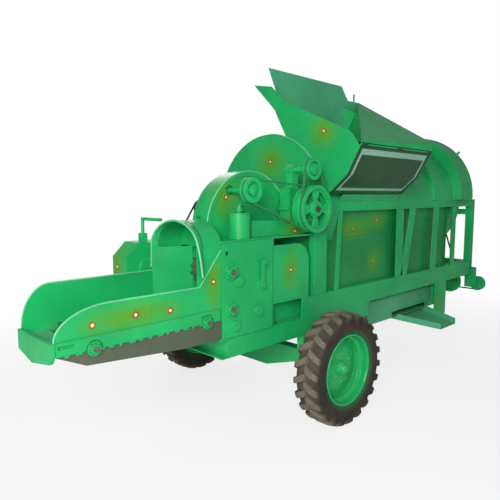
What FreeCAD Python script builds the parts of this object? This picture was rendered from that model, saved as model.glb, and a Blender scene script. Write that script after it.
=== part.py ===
import FreeCAD, Part
import math
import os

# Threshing machine on two wheels. Millimetres, +X to the rear, near side at -Y, +Z up.
# The origin is on the ground below the middle of the machine.

V = FreeCAD.Vector

# Overall places
FRONT_OVERHANG = 1920.0       # axle line to the front of the feed trough
REAR_OVERHANG = 3030.0        # axle line to the rear face of the rear pulley
LENGTH = FRONT_OVERHANG + REAR_OVERHANG
AXLE_X = FRONT_OVERHANG - LENGTH / 2
TRACK = 1620.0                # between the middles of the two tyres

# Stock and clearances
SHEET = 4.0                   # body sheet
PLATE = 10.0                  # head and bearing plates
CHANNEL_T = 8.0               # wall of the rolled channels
BAR_T = 8.0                   # flat bars and small brackets
SEAT = 0.3                    # between faces that only rest near each other
RUN = 0.05                    # radial clearance of a running shaft
SIDE_PLAY = 1.0               # end play of turning pieces
CUT_OVER = 5.0                # overrun of cutting tools
BOLT_R = 6.0
BOLT_HEAD_H = 7.0

# Wheels
TYRE_OD = 790.0
TYRE_W = 200.0
LUG_H = 22.0
LUG_COUNT = 22                # on each side of the tread
LUG_W = 42.0
TYRE_WALL = 14.0
RIM_OD = 500.0                # over the flanges
RIM_W = 164.0
RIM_WALL = 5.0
RIM_LIP = 11.0                # height of the rim flange above the bead seat
WELL_DEPTH = 22.0
DISC_OFFSET = 12.0            # disc face, outward of the wheel's middle
DISC_RISE = 26.0              # dish of the disc between its flat and the rim
HUB_R = 50.0
HUB_IN = 100.0                # hub reach inward of the wheel's middle
HUB_OUT = 48.0
HUB_FLANGE_R = 126.0
HUB_FLANGE_T = 12.0
SPINDLE_R = 25.0
NUT_PCD_R = 98.0
NUT_R = 15.0
NUT_H = 14.0
WHEEL_NUTS = 6
CAP_R = 34.0
CAP_H = 20.0
AXLE_Z = TYRE_OD / 2

# Chassis
FRAME_W = 1120.0
FRAME_CLEAR = 195.0           # axle centre to the underside of the lower rails
LOWER_RAIL_H = 122.0
LOWER_FLANGE = 60.0
MAIN_RAIL_H = 156.0
MAIN_FLANGE = 75.0
LOWER_FRONT = 810.0           # lower rails ahead of the axle
LOWER_REAR = 760.0            # lower rails behind the axle
MAIN_FRONT = 110.0
MAIN_REAR = 2800.0
CROSS_W = 60.0
RAIL_Y = FRAME_W / 2
LOWER_Z = AXLE_Z + FRAME_CLEAR
MAIN_Z = LOWER_Z + LOWER_RAIL_H
DECK_Z = MAIN_Z + MAIN_RAIL_H
BEAM_W = 90.0                 # axle beam along the machine
BEAM_TOP = 65.0               # axle beam above the axle line
BEAM_END = 35.0               # axle beam below the axle line at its ends
BEAM_BELLY = 128.0            # axle beam below the axle line at its middle
BEAM_LEVEL_Y = 450.0
BEAM_BELLY_Y = 150.0
SHOULDER_L = 40.0             # round shoulder between the beam's end and the hub
BEAM_REACH = TRACK / 2 - HUB_IN - SHOULDER_L
BEAM_PLATE = 12.0             # wall of the hollow axle beam
PEDESTAL_L = 180.0

# Upper frame
POST_H = 605.0                # main rail top to the top beam's underside
TOP_BEAM_H = 74.0
TOP_BEAM_W = 50.0
TOP_BEAM_FRONT = 300.0
BEAM_WALL = 5.0
BEAM_Z = DECK_Z + POST_H
CORNER_W = 70.0
CORNER_X = 2790.0
WIDE_POST_X = 20.0
WIDE_POST_W = 150.0
POST_T = 50.0                 # posts across the machine
POST_W = 120.0
REAR_POST_W = 85.0
BRACE_W = 110.0
SLIM_BRACE_W = 50.0
POST_SHARE = 0.385            # places along the top beam, as shares of it
REAR_POST_SHARE = 0.815
SLIM_BRACE_SHARES = (0.055, 0.04)
BRIGHT_BRACE_SHARES = (0.475, 0.42)
REAR_BRACE_SHARES = (0.655, 0.64)
SKIRT_X = 1960.0
SKIRT_L = 260.0
SKIRT_DROP = 340.0            # near side skirt beside the sieve, below the main rail

# Drum casing
SHAFT_RISE = 632.0            # main shaft above the main rails
SHAFT_Z = DECK_Z + SHAFT_RISE
CASING_R = 562.0
FACE_RISE = 13.0              # front plate's rim beyond the casing
CASING_FRONT = 120.0
CASING_STEP = 1850.0          # front section's end, behind the axle
BAND_L = 90.0                 # raised band between the sections
BAND_RISE = 12.0
SCROLL_FRONT = 2290.0
SCROLL_L = 290.0
SCROLL_R = 645.0
SCROLL_LOW_R = 505.0          # narrower below the top beams
DUCT_OUT = 790.0              # outlet duct's mouth, out from the middle
DUCT_H = 220.0
SCROLL_LIFT = 80.0            # scroll centre above the shaft
REAR_LIFT = 50.0              # rear section's centre above the shaft
BODY_INSET = 57.0             # lower body panels inside the casing's widest line
BODY_HALF_W = CASING_R - BODY_INSET
LEDGE_Z = 402.0               # ledge above the main rails
LEDGE_W = 30.0
LEDGE_H = 4.0
INLET_NEAR = 330.0
INLET_LOW = 190.0             # inlet of the casing, above the main rails
INLET_H = 130.0

# Main shaft and what turns with it
MAIN_SHAFT_R = 30.0
DRUM_FRONT = 330.0
DRUM_REAR = 1800.0
DRUM_CORE_R = 150.0
DRUM_WALL = 8.0
BEATER_BARS = 6
BEATER_GAP = 142.0            # between the drum's pegs and the casing
BEATER_R = CASING_R - BEATER_GAP
BEATER_W = 46.0
BEATER_PEGS = 9
SPIDERS = 4
CONCAVE_BARS = 13
CONCAVE_WRAP = 130.0          # degrees of the drum that the concave goes round
SPIDER_T = 8.0
FAN_BLADES = 6
FAN_R = 480.0
FAN_HUB_R = 90.0
FAN_W = 200.0
SPLINE_R = 17.5
SPLINE_L = 76.0
BEVEL_R = 70.0
BEVEL_FACE = 26.0

# Cross drive at the front
CROSS_X = -80.0               # cross shaft, from the axle line
CROSS_SHAFT_R = 22.0
BIG_PULLEY_R = 163.0
BIG_PULLEY_Y = 642.0          # pulley plane, out from the middle
PULLEY_W = 46.0
RIM_DEPTH = 26.0
GROOVE_W = 20.0
GROOVE_D = 15.0
BELT_W = 17.0
BELT_H = 12.0
WEB_T = 12.0
KIDNEY_REACH = 27.0           # half of a pulley slot, in degrees
HOUSING_W = 220.0
HOUSING_LOW = 100.0           # bevel housing below the shaft line
HOUSING_HIGH = 140.0
HOUSING_NEAR = 500.0
HOUSING_FAR = 180.0
COUNTER_DX = -40.0
COUNTER_SHAFT_R = 20.0
HOUSING_WALL = 10.0
HOUSING_FOOT_INSET = 40.0
COUNTER_LIFT = 272.0          # upper countershaft above the cross shaft
COUNTER_R = 75.0
FAR_BELT_Y = 250.0            # belt plane on the far side
FAR_DRIVE_R = 140.0

# Chopping cylinder behind the feed rollers
CHOPPER_X = -215.0
CHOPPER_Z = 290.0             # above the feed deck
CHOPPER_R = 150.0
CHOPPER_KNIVES = 6
CHOPPER_SHAFT_R = 22.0
CHOPPER_WALL = 8.0             # wall of the knife drum
CHOPPER_GAP = 12.0            # between the knives and the shroud
CHOPPER_FAR_R = 105.0
CHOPPER_STUB = 30.0           # shaft end outside the near wall
CHOPPER_WALL_NEAR = 484.0
CHOPPER_WALL_FAR = 120.0
KNIFE_T = 14.0
KNIFE_RISE = 30.0
GUARD_REAR = -14.0
GUARD_FRONT = -373.0
GUARD_TOP = 544.0             # above the feed deck
GUARD_LOW = 148.0
GUARD_DROP_SHARE = 0.35       # rounded rear corner of the guard, as a share of its height

# Feed head
HEAD_FRONT = -870.0
HEAD_REAR = -430.0
HEAD_TOP = 590.0              # head plates above the feed deck
THROAT_NEAR = 545.0
THROAT_FAR = 285.0
THROAT_REAR = -390.0
ROLLER_X = -800.0
UPPER_ROLLER_Z = 410.0
ROLLER_R = 84.0
RIB_H = 14.0
ROLLER_RIBS = 12
RIB_FOOT_SHARE = 0.16
RIB_TOP_SHARE = 0.1
ROLLER_SHAFT_R = 20.0
GEAR_MODULE = 5.0
ROLLER_TEETH = 46
GEAR_W = 30.0
TABLE_T = 12.0
TABLE_NARROW = -80.0          # far edge of the narrow part of the table
TABLE_WIDE_X = -330.0
CAN_X = -648.0                # pressure can on the table
CAN_Y = 482.0
CAN_R = 72.0
CAN_H = 162.0
CAN_ROD_R = 12.0
CAN_ROD_H = 55.0
PRESSURE_BAR_W = 22.0
PRESSURE_BAR_H = 112.0
PRESSURE_BAR_SHARE = 0.8       # rear height, as a share of the front height
PRESSURE_BAR_END = -23.0
BOSS_R = 34.0
BOSS_SHARES = ((0.3, 0.585), (0.75, 0.51), (0.69, 0.23), (0.23, 0.12))
LEVER_SHARES = (0.75, 0.51)
BOSS_H = 16.0
LEVER_L = 150.0
LEVER_W = 26.0
LEVER_PIN_R = 10.0

# Reduction drive beneath the half-round cover
COVER_X = -472.0
COVER_R = 380.0
COVER_NEAR = 400.0
COVER_W = 145.0
COVER_RIM = 34.0
COVER_LIFT = 53.0             # cover's centre above the table
P1_X = -655.0
P1_RISE = 316.0               # small feed pulley above the table
P1_R = 78.0
P1_SHAFT_R = 16.0
PINION_TEETH = 12
RED_TEETH = 48
RED_MODULE = 5.5
RED_DX = 100.0                # reduction gear behind the pinion
GEAR_BLOCK_IN = 93.0          # gear's outer bearing, in from the table's narrow edge
SPROCKET_R = 62.0
SPROCKET_W = 12.0
CHAIN_Y = 20.0                # feed chain plane, on the far side of the middle
CHAIN_STEP = 40.0             # from it to the conveyor's chain plane
CHAIN_R_SHARE = 0.65          # conveyor sprocket, as a share of the roller's
DRIVE_CHAIN_T = 9.0
DRIVE_CHAIN_W = 10.0
RED_FRAME_NEAR = 384.0
RED_FRAME_FAR = 275.0
RED_FRAME_L = 240.0
RED_FRAME_H = 365.0

# Feed trough and its conveyor
TROUGH_NEAR = 560.0
TROUGH_FAR = 165.0
STRIP_H = 67.0
STRIP_T = 10.0
STRIP_LOW = 125.0             # underside of the near side strip above the feed deck
STRIP_REAR = -890.0
WALL_RISE = 220.0             # near wall above the underside of the strip
WALL_FLAT_X0 = -1612.0
WALL_FLAT_X1 = -1035.0
DIAG_RISE = 425.0
FAR_RISE = 285.0
FAR_FLAT_X0 = -1743.0
SLOT_L = 80.0
SLOT_H = 16.0
END_T = 20.0
END_OUT = 14.0
END_NOTCH_SHARE = 0.6
CONV_R = 42.0
CONV_SHAFT_R = 15.0
CONV_REAR_X = -985.0
CONV_FRONT_X = -1700.0
CONV_Z = 128.0                # conveyor shafts above the feed deck
CHAIN_T = 8.0
CHAIN_WID = 22.0
SLAT_H = 12.0
SLAT_W = 26.0
SLAT_GAP = 78.0               # from one slat to the next
BED_DROP = 4.0                # bed below the chain's top run
BELLY_FRONT_DROP = 75.0
BELLY_REAR_DROP = 120.0
BELLY_REAR_X = -1160.0
HOOD_FRONT = -1055.0
HOOD_CROWN = 725.0            # hood crown above the feed deck
HOOD_SHOULDER = 560.0
FUNNEL_X = -1100.0
GEARBOX_X0 = -1215.0
GEARBOX_X1 = -720.0
GEARBOX_Y0 = -60.0
GEARBOX_Y1 = 110.0
GEARBOX_LOW = 60.0
GEARBOX_HIGH = 575.0
GEARBOX_WALL = 6.0
GEARBOX_CUT = 90.0            # cut front corner of the gearbox
HANDLE_R = 11.0
HANDLE_X = -1130.0
HANDLE_RISE = 115.0
HANDLE_L = 210.0

# Hopper on the casing
HOPPER_LENGTH = 1030.0
MOUTH_EDGE = 20.0             # casing left in front of and beside the drum's inlet
HOPPER_TOP = 1090.0           # far wall above the shaft
HOPPER_OUT = 868.0            # hopper's near edge, out from the middle
HOPPER_EDGE = 452.0           # near edge above the shaft
HOPPER_TIP = 974.0            # rear tip above the shaft
HOPPER_LIP = 1250.0           # front wall to the rear tip
HOPPER_CORNER = 1027.0        # front wall to the cover's near rear corner
HOPPER_CORNER_RISE = 63.0
HOPPER_LEAN = 275.0           # far wall's front edge slants back by this, from its top down to the drum
HOPPER_BACK_SHARE = 0.14      # the rear plate's top below the tip, as a share of the cover's rise
# Front wall's outline, as shares of the near edge's reach and of the top's height
FRONT_WALL_SHARES = ((-0.989, 0.395), (-0.92, 0.472), (-0.888, 0.494), (-0.207, 0.741), (-0.037, 0.864),
                     (0.181, 0.897), (-0.076, 0.698), (-0.222, 0.49))
DOOR_LOW_SHARES = (0.697, 0.235)   # lower edge, as shares of the near edge's place
DOOR_MID_SHARES = (0.873, 0.53)
DOOR_T = 5.0
DOOR_HANG = 12.0              # hinge pin below the cover
DOOR_PIN_R = 6.0
KNUCKLE_R = 10.0
KNUCKLE_L = 70.0
KNUCKLES = 3
BORDER_T = 3.0
BORDER_W = 26.0

# Sieve box, hangers and chute
SIEVE_X0 = 420.0
SIEVE_X1 = 2200.0
SIEVE_HALF = 470.0
SIEVE_DEPTH = 240.0
SIEVE_TOP_GAP = 12.0
SIEVE_STROKE = 12.0
SIEVE_LEVEL = 140.0           # sieve wires above the pan
SIEVE_WALL = 5.0
WIRE_R = 4.0
WIRE_GAP = 42.0
HANGER_L = 190.0
HANGER_W = 26.0
HANGER_T = 10.0
HANGER_PIN_R = 8.0
HANGER_SLACK = 0.8            # in the lower eyes
HANGER_Y = 507.0
HANGER_XS = (800.0, 2020.0)
CHUTE_OUT = 790.0
CHUTE_X0 = 1300.0
CHUTE_X1 = 1950.0
CHUTE_DROP = 110.0
CHUTE_LIP_X0 = 1630.0
CHUTE_LIP_X1 = 1940.0
CHUTE_Y = 330.0
CHUTE_WALL = 55.0

# Rear drive
JACK_X = 3000.0
JACK_Y = 580.0
JACK_DROP = 122.0             # below the main rails
JACK_R = 80.0
JACK_SHAFT_R = 15.0
ECC_Y = 300.0
ECC_SHAFT_R = 18.0
ECC_DRIVE_R = 120.0
ECC_DISC_R = 26.0
ECC_REACH = 60.0              # connecting rod's ring, rear of the sieve
ROD_L = 260.0
REAR_PULLEY_X = 2905.0
REAR_PULLEY_R = 110.0
HITCH_L = 150.0
HITCH_W = 90.0
HITCH_T = 25.0
HITCH_HOLE_R = 16.0
HITCH_HOLE_X = 100.0

# Prop stand
STAND_X = 2000.0
STAND_TUBE = 60.0
STAND_WALL = 6.0
STAND_GAP = 4.0               # between the rail's bracket and the leg
STAND_LEAN = 30.0             # foot ahead of the pivot
FOOT_L = 170.0
FOOT_T = 12.0
STAND_PIN_R = 14.0

HEAD_Z = MAIN_Z + BAR_T       # top of the feed deck
FLANGE_Y = RAIL_Y - MAIN_FLANGE - SEAT
TABLE_Z = HEAD_Z + HEAD_TOP   # underside of the front table
TABLE_TOP = TABLE_Z + TABLE_T
BEAM_TOP_Z = BEAM_Z + TOP_BEAM_H
FACE_X = AXLE_X + CASING_FRONT
CHEEK_Z = SHAFT_Z - math.sqrt(CASING_R ** 2 - BODY_HALF_W ** 2)   # casing meets the side panels
STEP_X = AXLE_X + CASING_STEP
SCROLL_X = AXLE_X + SCROLL_FRONT
ROLLER_Z = HEAD_Z + UPPER_ROLLER_Z
LOW_ROLLER_Z = ROLLER_Z - ROLLER_TEETH * GEAR_MODULE
CHOP_X = AXLE_X + CHOPPER_X
CHOP_Z = HEAD_Z + CHOPPER_Z
DRIVE_X = AXLE_X + CROSS_X
COUNTER_X = DRIVE_X + COUNTER_DX
COUNTER_Z = SHAFT_Z + COUNTER_LIFT
PINION_X = AXLE_X + P1_X
PINION_Z = TABLE_Z + P1_RISE
GEAR_X = PINION_X + RED_DX
GEAR_REACH = (PINION_TEETH + RED_TEETH) * RED_MODULE / 2
GEAR_Z = PINION_Z - math.sqrt(GEAR_REACH ** 2 - RED_DX ** 2)
CONV_LINE_Z = HEAD_Z + CONV_Z
JACK_Z = MAIN_Z - JACK_DROP
SIEVE_Z1 = MAIN_Z - SIEVE_TOP_GAP
SIEVE_Z0 = SIEVE_Z1 - SIEVE_DEPTH
HANGER_TOP_Z = MAIN_Z - HANGER_W
HANGER_LOW_Z = HANGER_TOP_Z - HANGER_L
os.makedirs("parts", exist_ok=True)


# Basic shapes

def box(x0, x1, y0, y1, z0, z1):
    return Part.makeBox(x1 - x0, y1 - y0, z1 - z0, V(x0, y0, z0))


def rod_x(x0, x1, y, z, r):
    return Part.makeCylinder(r, x1 - x0, V(x0, y, z), V(1, 0, 0))


def rod_y(x, y0, y1, z, r):
    return Part.makeCylinder(r, y1 - y0, V(x, y0, z), V(0, 1, 0))


def rod_z(x, y, z0, z1, r):
    return Part.makeCylinder(r, z1 - z0, V(x, y, z0), V(0, 0, 1))


def sheet(points, step):
    """A flat polygon through points in space, thickened along step."""
    return Part.Face(Part.makePolygon(points + points[:1])).extrude(step)


def plate_xz(points, y0, y1):
    return sheet([V(x, y0, z) for x, z in points], V(0, y1 - y0, 0))


def plate_yz(points, x0, x1):
    return sheet([V(x0, y, z) for y, z in points], V(x1 - x0, 0, 0))


def plate_xy(points, z0, z1):
    return sheet([V(x, y, z0) for x, y in points], V(0, 0, z1 - z0))


def grown(x0, x1, y0, y1, z0, z1):
    """A cutting box that runs past the given one along X and Y."""
    return box(x0 - CUT_OVER, x1 + CUT_OVER, y0 - CUT_OVER, y1 + CUT_OVER, z0, z1)


def arc_points(u, v, r, start, end, count):
    """Points on a circle about (u, v), angles in degrees from the u axis."""
    turn = [math.radians(start + (end - start) * i / count) for i in range(count + 1)]
    return [(u + r * math.cos(t), v + r * math.sin(t)) for t in turn]


def mirrored(shape):
    return shape.mirror(V(0, 0, 0), V(0, 1, 0))


def both_sides(shapes):
    return shapes + [mirrored(shape) for shape in shapes]


def turned_y(profile, x, z):
    """A profile of (radius, y) points turned about the line along Y at x, z."""
    face = Part.Face(Part.makePolygon([V(x + r, y, z) for r, y in profile + profile[:1]]))
    return face.revolve(V(x, 0, z), V(0, 1, 0), 360)


def turned_x(profile, y, z):
    """A profile of (radius, x) points turned about the line along X at y, z."""
    face = Part.Face(Part.makePolygon([V(x, y, z + r) for r, x in profile + profile[:1]]))
    return face.revolve(V(0, y, z), V(1, 0, 0), 360)


def save(name, shapes):
    solids = [solid for shape in shapes for solid in shape.Solids]
    whole = solids[0] if len(solids) == 1 else Part.makeCompound(solids)
    whole.exportStep("parts/" + name + ".step")


# Gears, pulleys and belts

def toothed(u, v, count, root, tip, root_share, tip_share, phase):
    """Outline points of a wheel with straight-sided teeth. The shares are half widths of a
    tooth as shares of the tooth pitch, and phase is the angle of one tooth's middle."""
    pitch = 2 * math.pi / count
    points = []
    for i in range(count):
        middle = phase + i * pitch
        for r, share in ((root, -root_share), (tip, -tip_share), (tip, tip_share), (root, root_share)):
            angle = middle + share * pitch
            points.append((u + r * math.cos(angle), v + r * math.sin(angle)))
    return points


ADDENDUM_SHARE = 0.7
DEDENDUM_SHARE = 1.1
GEAR_ROOT_SHARE = 0.28
GEAR_TIP_SHARE = 0.14


def gear(x, z, y0, width, teeth, module, phase):
    pitch_r = teeth * module / 2
    points = toothed(x, z, teeth, pitch_r - DEDENDUM_SHARE * module,
                     pitch_r + ADDENDUM_SHARE * module, GEAR_ROOT_SHARE, GEAR_TIP_SHARE, phase)
    return plate_xz(points, y0, y0 + width)


def meshing_phase(phase, teeth, direction, other_teeth):
    """Phase that puts a gap of the second gear on a tooth of the first one, where direction
    is the angle from the first gear's centre to the second's."""
    half_pitch = math.pi / teeth
    slip = (phase - direction + half_pitch) * teeth / other_teeth
    return direction + math.pi - slip


def pulley_profile(mid, r, width, bore, hub_r, hub_w):
    """Half section of a grooved pulley, as (radius, place along the shaft) points."""
    rim_in = r - RIM_DEPTH
    half = width / 2
    groove = GROOVE_W / 2
    web = WEB_T / 2
    return [(bore, mid - hub_w / 2), (hub_r, mid - hub_w / 2), (hub_r, mid - web),
            (rim_in, mid - web), (rim_in, mid - half), (r, mid - half), (r, mid - groove),
            (r - GROOVE_D, mid - groove + SIDE_PLAY), (r - GROOVE_D, mid + groove - SIDE_PLAY),
            (r, mid + groove), (r, mid + half), (rim_in, mid + half), (rim_in, mid + web),
            (hub_r, mid + web), (hub_r, mid + hub_w / 2), (bore, mid + hub_w / 2)]


def solid_pulley_profile(mid, r, width, bore):
    """Half section of a small pulley turned from the solid."""
    half = width / 2
    groove = GROOVE_W / 2
    return [(bore, mid - half), (r, mid - half), (r, mid - groove),
            (r - GROOVE_D, mid - groove + SIDE_PLAY), (r - GROOVE_D, mid + groove - SIDE_PLAY),
            (r, mid + groove), (r, mid + half), (bore, mid + half)]


def loop_wire(a, ra, b, rb, place):
    """The outline of a belt round two circles: two tangent lines and two arcs.
    place turns a pair (u, v) into a point in space."""
    along = math.atan2(b[1] - a[1], b[0] - a[0])
    spread = math.acos((ra - rb) / math.hypot(b[0] - a[0], b[1] - a[1]))

    def rim(centre, r, angle):
        return place(centre[0] + r * math.cos(angle), centre[1] + r * math.sin(angle))

    a_up, a_low = rim(a, ra, along + spread), rim(a, ra, along - spread)
    b_up, b_low = rim(b, rb, along + spread), rim(b, rb, along - spread)
    edges = [Part.LineSegment(a_up, b_up), Part.Arc(b_up, rim(b, rb, along), b_low),
             Part.LineSegment(b_low, a_low), Part.Arc(a_low, rim(a, ra, along + math.pi), a_up)]
    return Part.Wire([edge.toShape() for edge in edges])


def loop_band(a, ra, b, rb, height, place, step):
    """A flat band of the given height round two circles, thickened along step."""
    outer = Part.Face(loop_wire(a, ra + height, b, rb + height, place)).extrude(step)
    return outer.cut(Part.Face(loop_wire(a, ra, b, rb, place)).extrude(step))


def belt_y(a, ra, b, rb, y):
    inner = GROOVE_D - SEAT
    return loop_band(a, ra - inner, b, rb - inner, BELT_H,
                     lambda u, v: V(u, y - BELT_W / 2, v), V(0, BELT_W, 0))


def belt_x(a, ra, b, rb, x):
    inner = GROOVE_D - SEAT
    return loop_band(a, ra - inner, b, rb - inner, BELT_H,
                     lambda u, v: V(x - BELT_W / 2, u, v), V(BELT_W, 0, 0))


def flange_bearing(axis, place, shaft_r, depth):
    """A round flanged bearing with four bolt heads, standing off a plate at place along axis."""
    base = Part.makeCylinder(shaft_r * 2.6, BAR_T, place, axis)
    nose = Part.makeCylinder(shaft_r * 1.7, depth, place, axis)
    side = axis.cross(V(0, 0, 1))
    heads = []
    for i in range(4):
        angle = math.pi / 4 + i * math.pi / 2
        out = shaft_r * 2.15
        spot = place + side * (out * math.cos(angle)) + V(0, 0, out * math.sin(angle))
        heads.append(Part.makeCylinder(BOLT_R, BAR_T + BOLT_HEAD_H, spot, axis))
    bore = Part.makeCylinder(shaft_r + RUN, depth + 2 * CUT_OVER, place - axis * CUT_OVER, axis)
    return base.fuse([nose] + heads).cut(bore).removeSplitter()


# Wheels

def tyre():
    """The far wheel's tyre: a hollow carcass turned about the axle with slanting lugs."""
    mid = TRACK / 2
    half = TYRE_W / 2
    tread = TYRE_OD / 2 - LUG_H
    bead = RIM_OD / 2 - RIM_LIP + SEAT
    bead_y = RIM_W / 2 - RIM_WALL - SEAT - TYRE_WALL / 2
    height = tread - bead
    outer = [(bead, bead_y), (bead + 0.12 * height, bead_y + 0.1 * half),
             (bead + 0.45 * height, half * 0.97), (bead + 0.72 * height, half * 0.96),
             (bead + 0.92 * height, half * 0.86), (tread, half * 0.66)]
    inner = [(tread - TYRE_WALL, half * 0.55), (bead + 0.8 * height, half * 0.74),
             (bead + 0.5 * height, half * 0.97 - TYRE_WALL), (bead + 0.14 * height, bead_y - TYRE_WALL),
             (bead, bead_y - TYRE_WALL)]
    right = outer + [(tread + 0.01 * height, 0)]
    left = [(r, -y) for r, y in reversed(outer)]
    back = [(r, -y) for r, y in reversed(inner)]
    profile = [(r, mid + y) for r, y in right + left + back + inner]
    carcass = turned_y(profile, AXLE_X, AXLE_Z)
    lug_low = tread - 0.4 * LUG_H
    step = 2 * math.pi / LUG_COUNT
    lugs = []
    for side in (-1, 1):
        y_in, y_out = mid - side * 0.04 * TYRE_W, mid + side * 0.47 * TYRE_W
        for i in range(LUG_COUNT):
            turn = -math.pi / 2 + (i + 0.25 * (1 + side)) * step
            out = V(math.cos(turn), 0, math.sin(turn))
            along = V(-math.sin(turn), 0, math.cos(turn))
            hub = V(AXLE_X, 0, AXLE_Z) + out * lug_low
            corners = ((y_in, -0.5), (y_in, 0.5), (y_out, 2.1), (y_out, 1.1))
            points = [hub + V(0, y, 0) + along * (LUG_W * (share - 0.8)) for y, share in corners]
            lugs.append(sheet(points, out * (2 * LUG_H)))
    ring = rod_y(AXLE_X, mid - half, mid + half, AXLE_Z, TYRE_OD / 2)
    trimmed = [lug.common(ring) for lug in lugs]
    return carcass.fuse(trimmed)


def rim():
    """The far wheel's rim, dished disc, hub, hub cap and wheel nuts."""
    mid = TRACK / 2
    flange = RIM_OD / 2
    seat = flange - RIM_LIP
    well = seat - WELL_DEPTH
    half = RIM_W / 2
    outside = [(flange, -half), (flange, -half + RIM_WALL), (seat, -half + RIM_WALL),
               (seat, -0.35 * half), (well, -0.2 * half), (well, 0.2 * half), (seat, 0.35 * half),
               (seat, half - RIM_WALL), (flange, half - RIM_WALL), (flange, half)]
    inside = [(seat - RIM_WALL, half), (seat - RIM_WALL, 0.35 * half + RIM_WALL),
              (well - RIM_WALL, 0.2 * half + RIM_WALL), (well - RIM_WALL, -0.2 * half - RIM_WALL),
              (seat - RIM_WALL, -0.35 * half - RIM_WALL), (seat - RIM_WALL, -half)]
    barrel = turned_y([(r, mid + y) for r, y in outside + inside], AXLE_X, AXLE_Z)
    face = DISC_OFFSET
    flat_r = 0.62 * well
    disc = turned_y([(r, mid + y) for r, y in (
        (HUB_R, face), (flat_r, face), (well - 2 * RIM_WALL, face - DISC_RISE),
        (well - RIM_WALL, face - DISC_RISE), (well - RIM_WALL, face - DISC_RISE - RIM_WALL),
        (well - 2 * RIM_WALL, face - DISC_RISE - RIM_WALL), (flat_r, face - RIM_WALL),
        (HUB_R, face - RIM_WALL))], AXLE_X, AXLE_Z)
    bore = SPINDLE_R + RUN
    back = face - RIM_WALL - HUB_FLANGE_T
    hub = turned_y([(r, mid + y) for r, y in (
        (bore, -HUB_IN), (HUB_R + BAR_T, -HUB_IN), (HUB_R + BAR_T, back - BAR_T), (HUB_FLANGE_R, back),
        (HUB_FLANGE_R, back + HUB_FLANGE_T), (HUB_R, back + HUB_FLANGE_T), (HUB_R, face),
        (0.9 * HUB_R, HUB_OUT), (bore, HUB_OUT))], AXLE_X, AXLE_Z)
    cap = turned_y([(r, mid + y) for r, y in (
        (0, HUB_OUT + CAP_H), (0.6 * CAP_R, HUB_OUT + CAP_H), (CAP_R, HUB_OUT + 0.5 * CAP_H),
        (CAP_R, HUB_OUT), (0, HUB_OUT))], AXLE_X, AXLE_Z)
    nuts = []
    for i in range(WHEEL_NUTS):
        turn = 2 * math.pi * (i + 0.5) / WHEEL_NUTS
        x, z = AXLE_X + NUT_PCD_R * math.cos(turn), AXLE_Z + NUT_PCD_R * math.sin(turn)
        nuts.append(plate_xz(arc_points(x, z, NUT_R, 0, 300, 5), mid + face, mid + face + NUT_H))
    return [barrel, disc, hub, cap] + nuts


def wheels():
    rubber = tyre()
    metal = rim()
    save("far_tyre", [rubber])
    save("near_tyre", [mirrored(rubber)])
    save("far_rim", metal)
    save("near_rim", [mirrored(piece) for piece in metal])


# Chassis

def channel_rail(x0, x1, z0, height, flange):
    """The far rail: a channel with its web outside."""
    outer = box(x0, x1, RAIL_Y - flange, RAIL_Y, z0, z0 + height)
    return outer.cut(grown(x0, x1, RAIL_Y - flange, RAIL_Y - CHANNEL_T - CUT_OVER,
                           z0 + CHANNEL_T, z0 + height - CHANNEL_T))


def cross_channel(x0, z0, height):
    """A channel across the machine with its web at the rear."""
    outer = box(x0, x0 + CROSS_W, -RAIL_Y, RAIL_Y, z0, z0 + height)
    return outer.cut(grown(x0, x0 + CROSS_W - CHANNEL_T - CUT_OVER, -RAIL_Y, RAIL_Y,
                           z0 + CHANNEL_T, z0 + height - CHANNEL_T))


def inner_member(x, z0, height):
    """A channel that fits inside the rails, with its web at the rear."""
    reach = RAIL_Y - CHANNEL_T
    x0, x1 = AXLE_X + x - CROSS_W / 2, AXLE_X + x + CROSS_W / 2
    low, high = z0 + CHANNEL_T, z0 + height - CHANNEL_T
    return box(x0, x1, -reach, reach, low, high).cut(
        grown(x0, x1 - CHANNEL_T - CUT_OVER, -reach, reach, low + CHANNEL_T, high - CHANNEL_T))


def chassis():
    lower = channel_rail(AXLE_X - LOWER_FRONT, AXLE_X + LOWER_REAR, LOWER_Z, LOWER_RAIL_H, LOWER_FLANGE)
    main = channel_rail(AXLE_X - MAIN_FRONT, AXLE_X + MAIN_REAR, MAIN_Z, MAIN_RAIL_H, MAIN_FLANGE)
    save("chassis_rails", both_sides([lower, main]))
    members = [cross_channel(AXLE_X - LOWER_FRONT - CROSS_W, LOWER_Z, LOWER_RAIL_H),
               cross_channel(AXLE_X + MAIN_REAR, MAIN_Z, MAIN_RAIL_H)]
    for x in (0, SIEVE_X0 - CROSS_W):
        members.append(inner_member(x, LOWER_Z, LOWER_RAIL_H))
    for x in (CASING_FRONT + CROSS_W, CASING_STEP, SCROLL_FRONT + CROSS_W):
        members.append(inner_member(x, MAIN_Z, MAIN_RAIL_H))
    save("cross_members", members)


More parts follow.
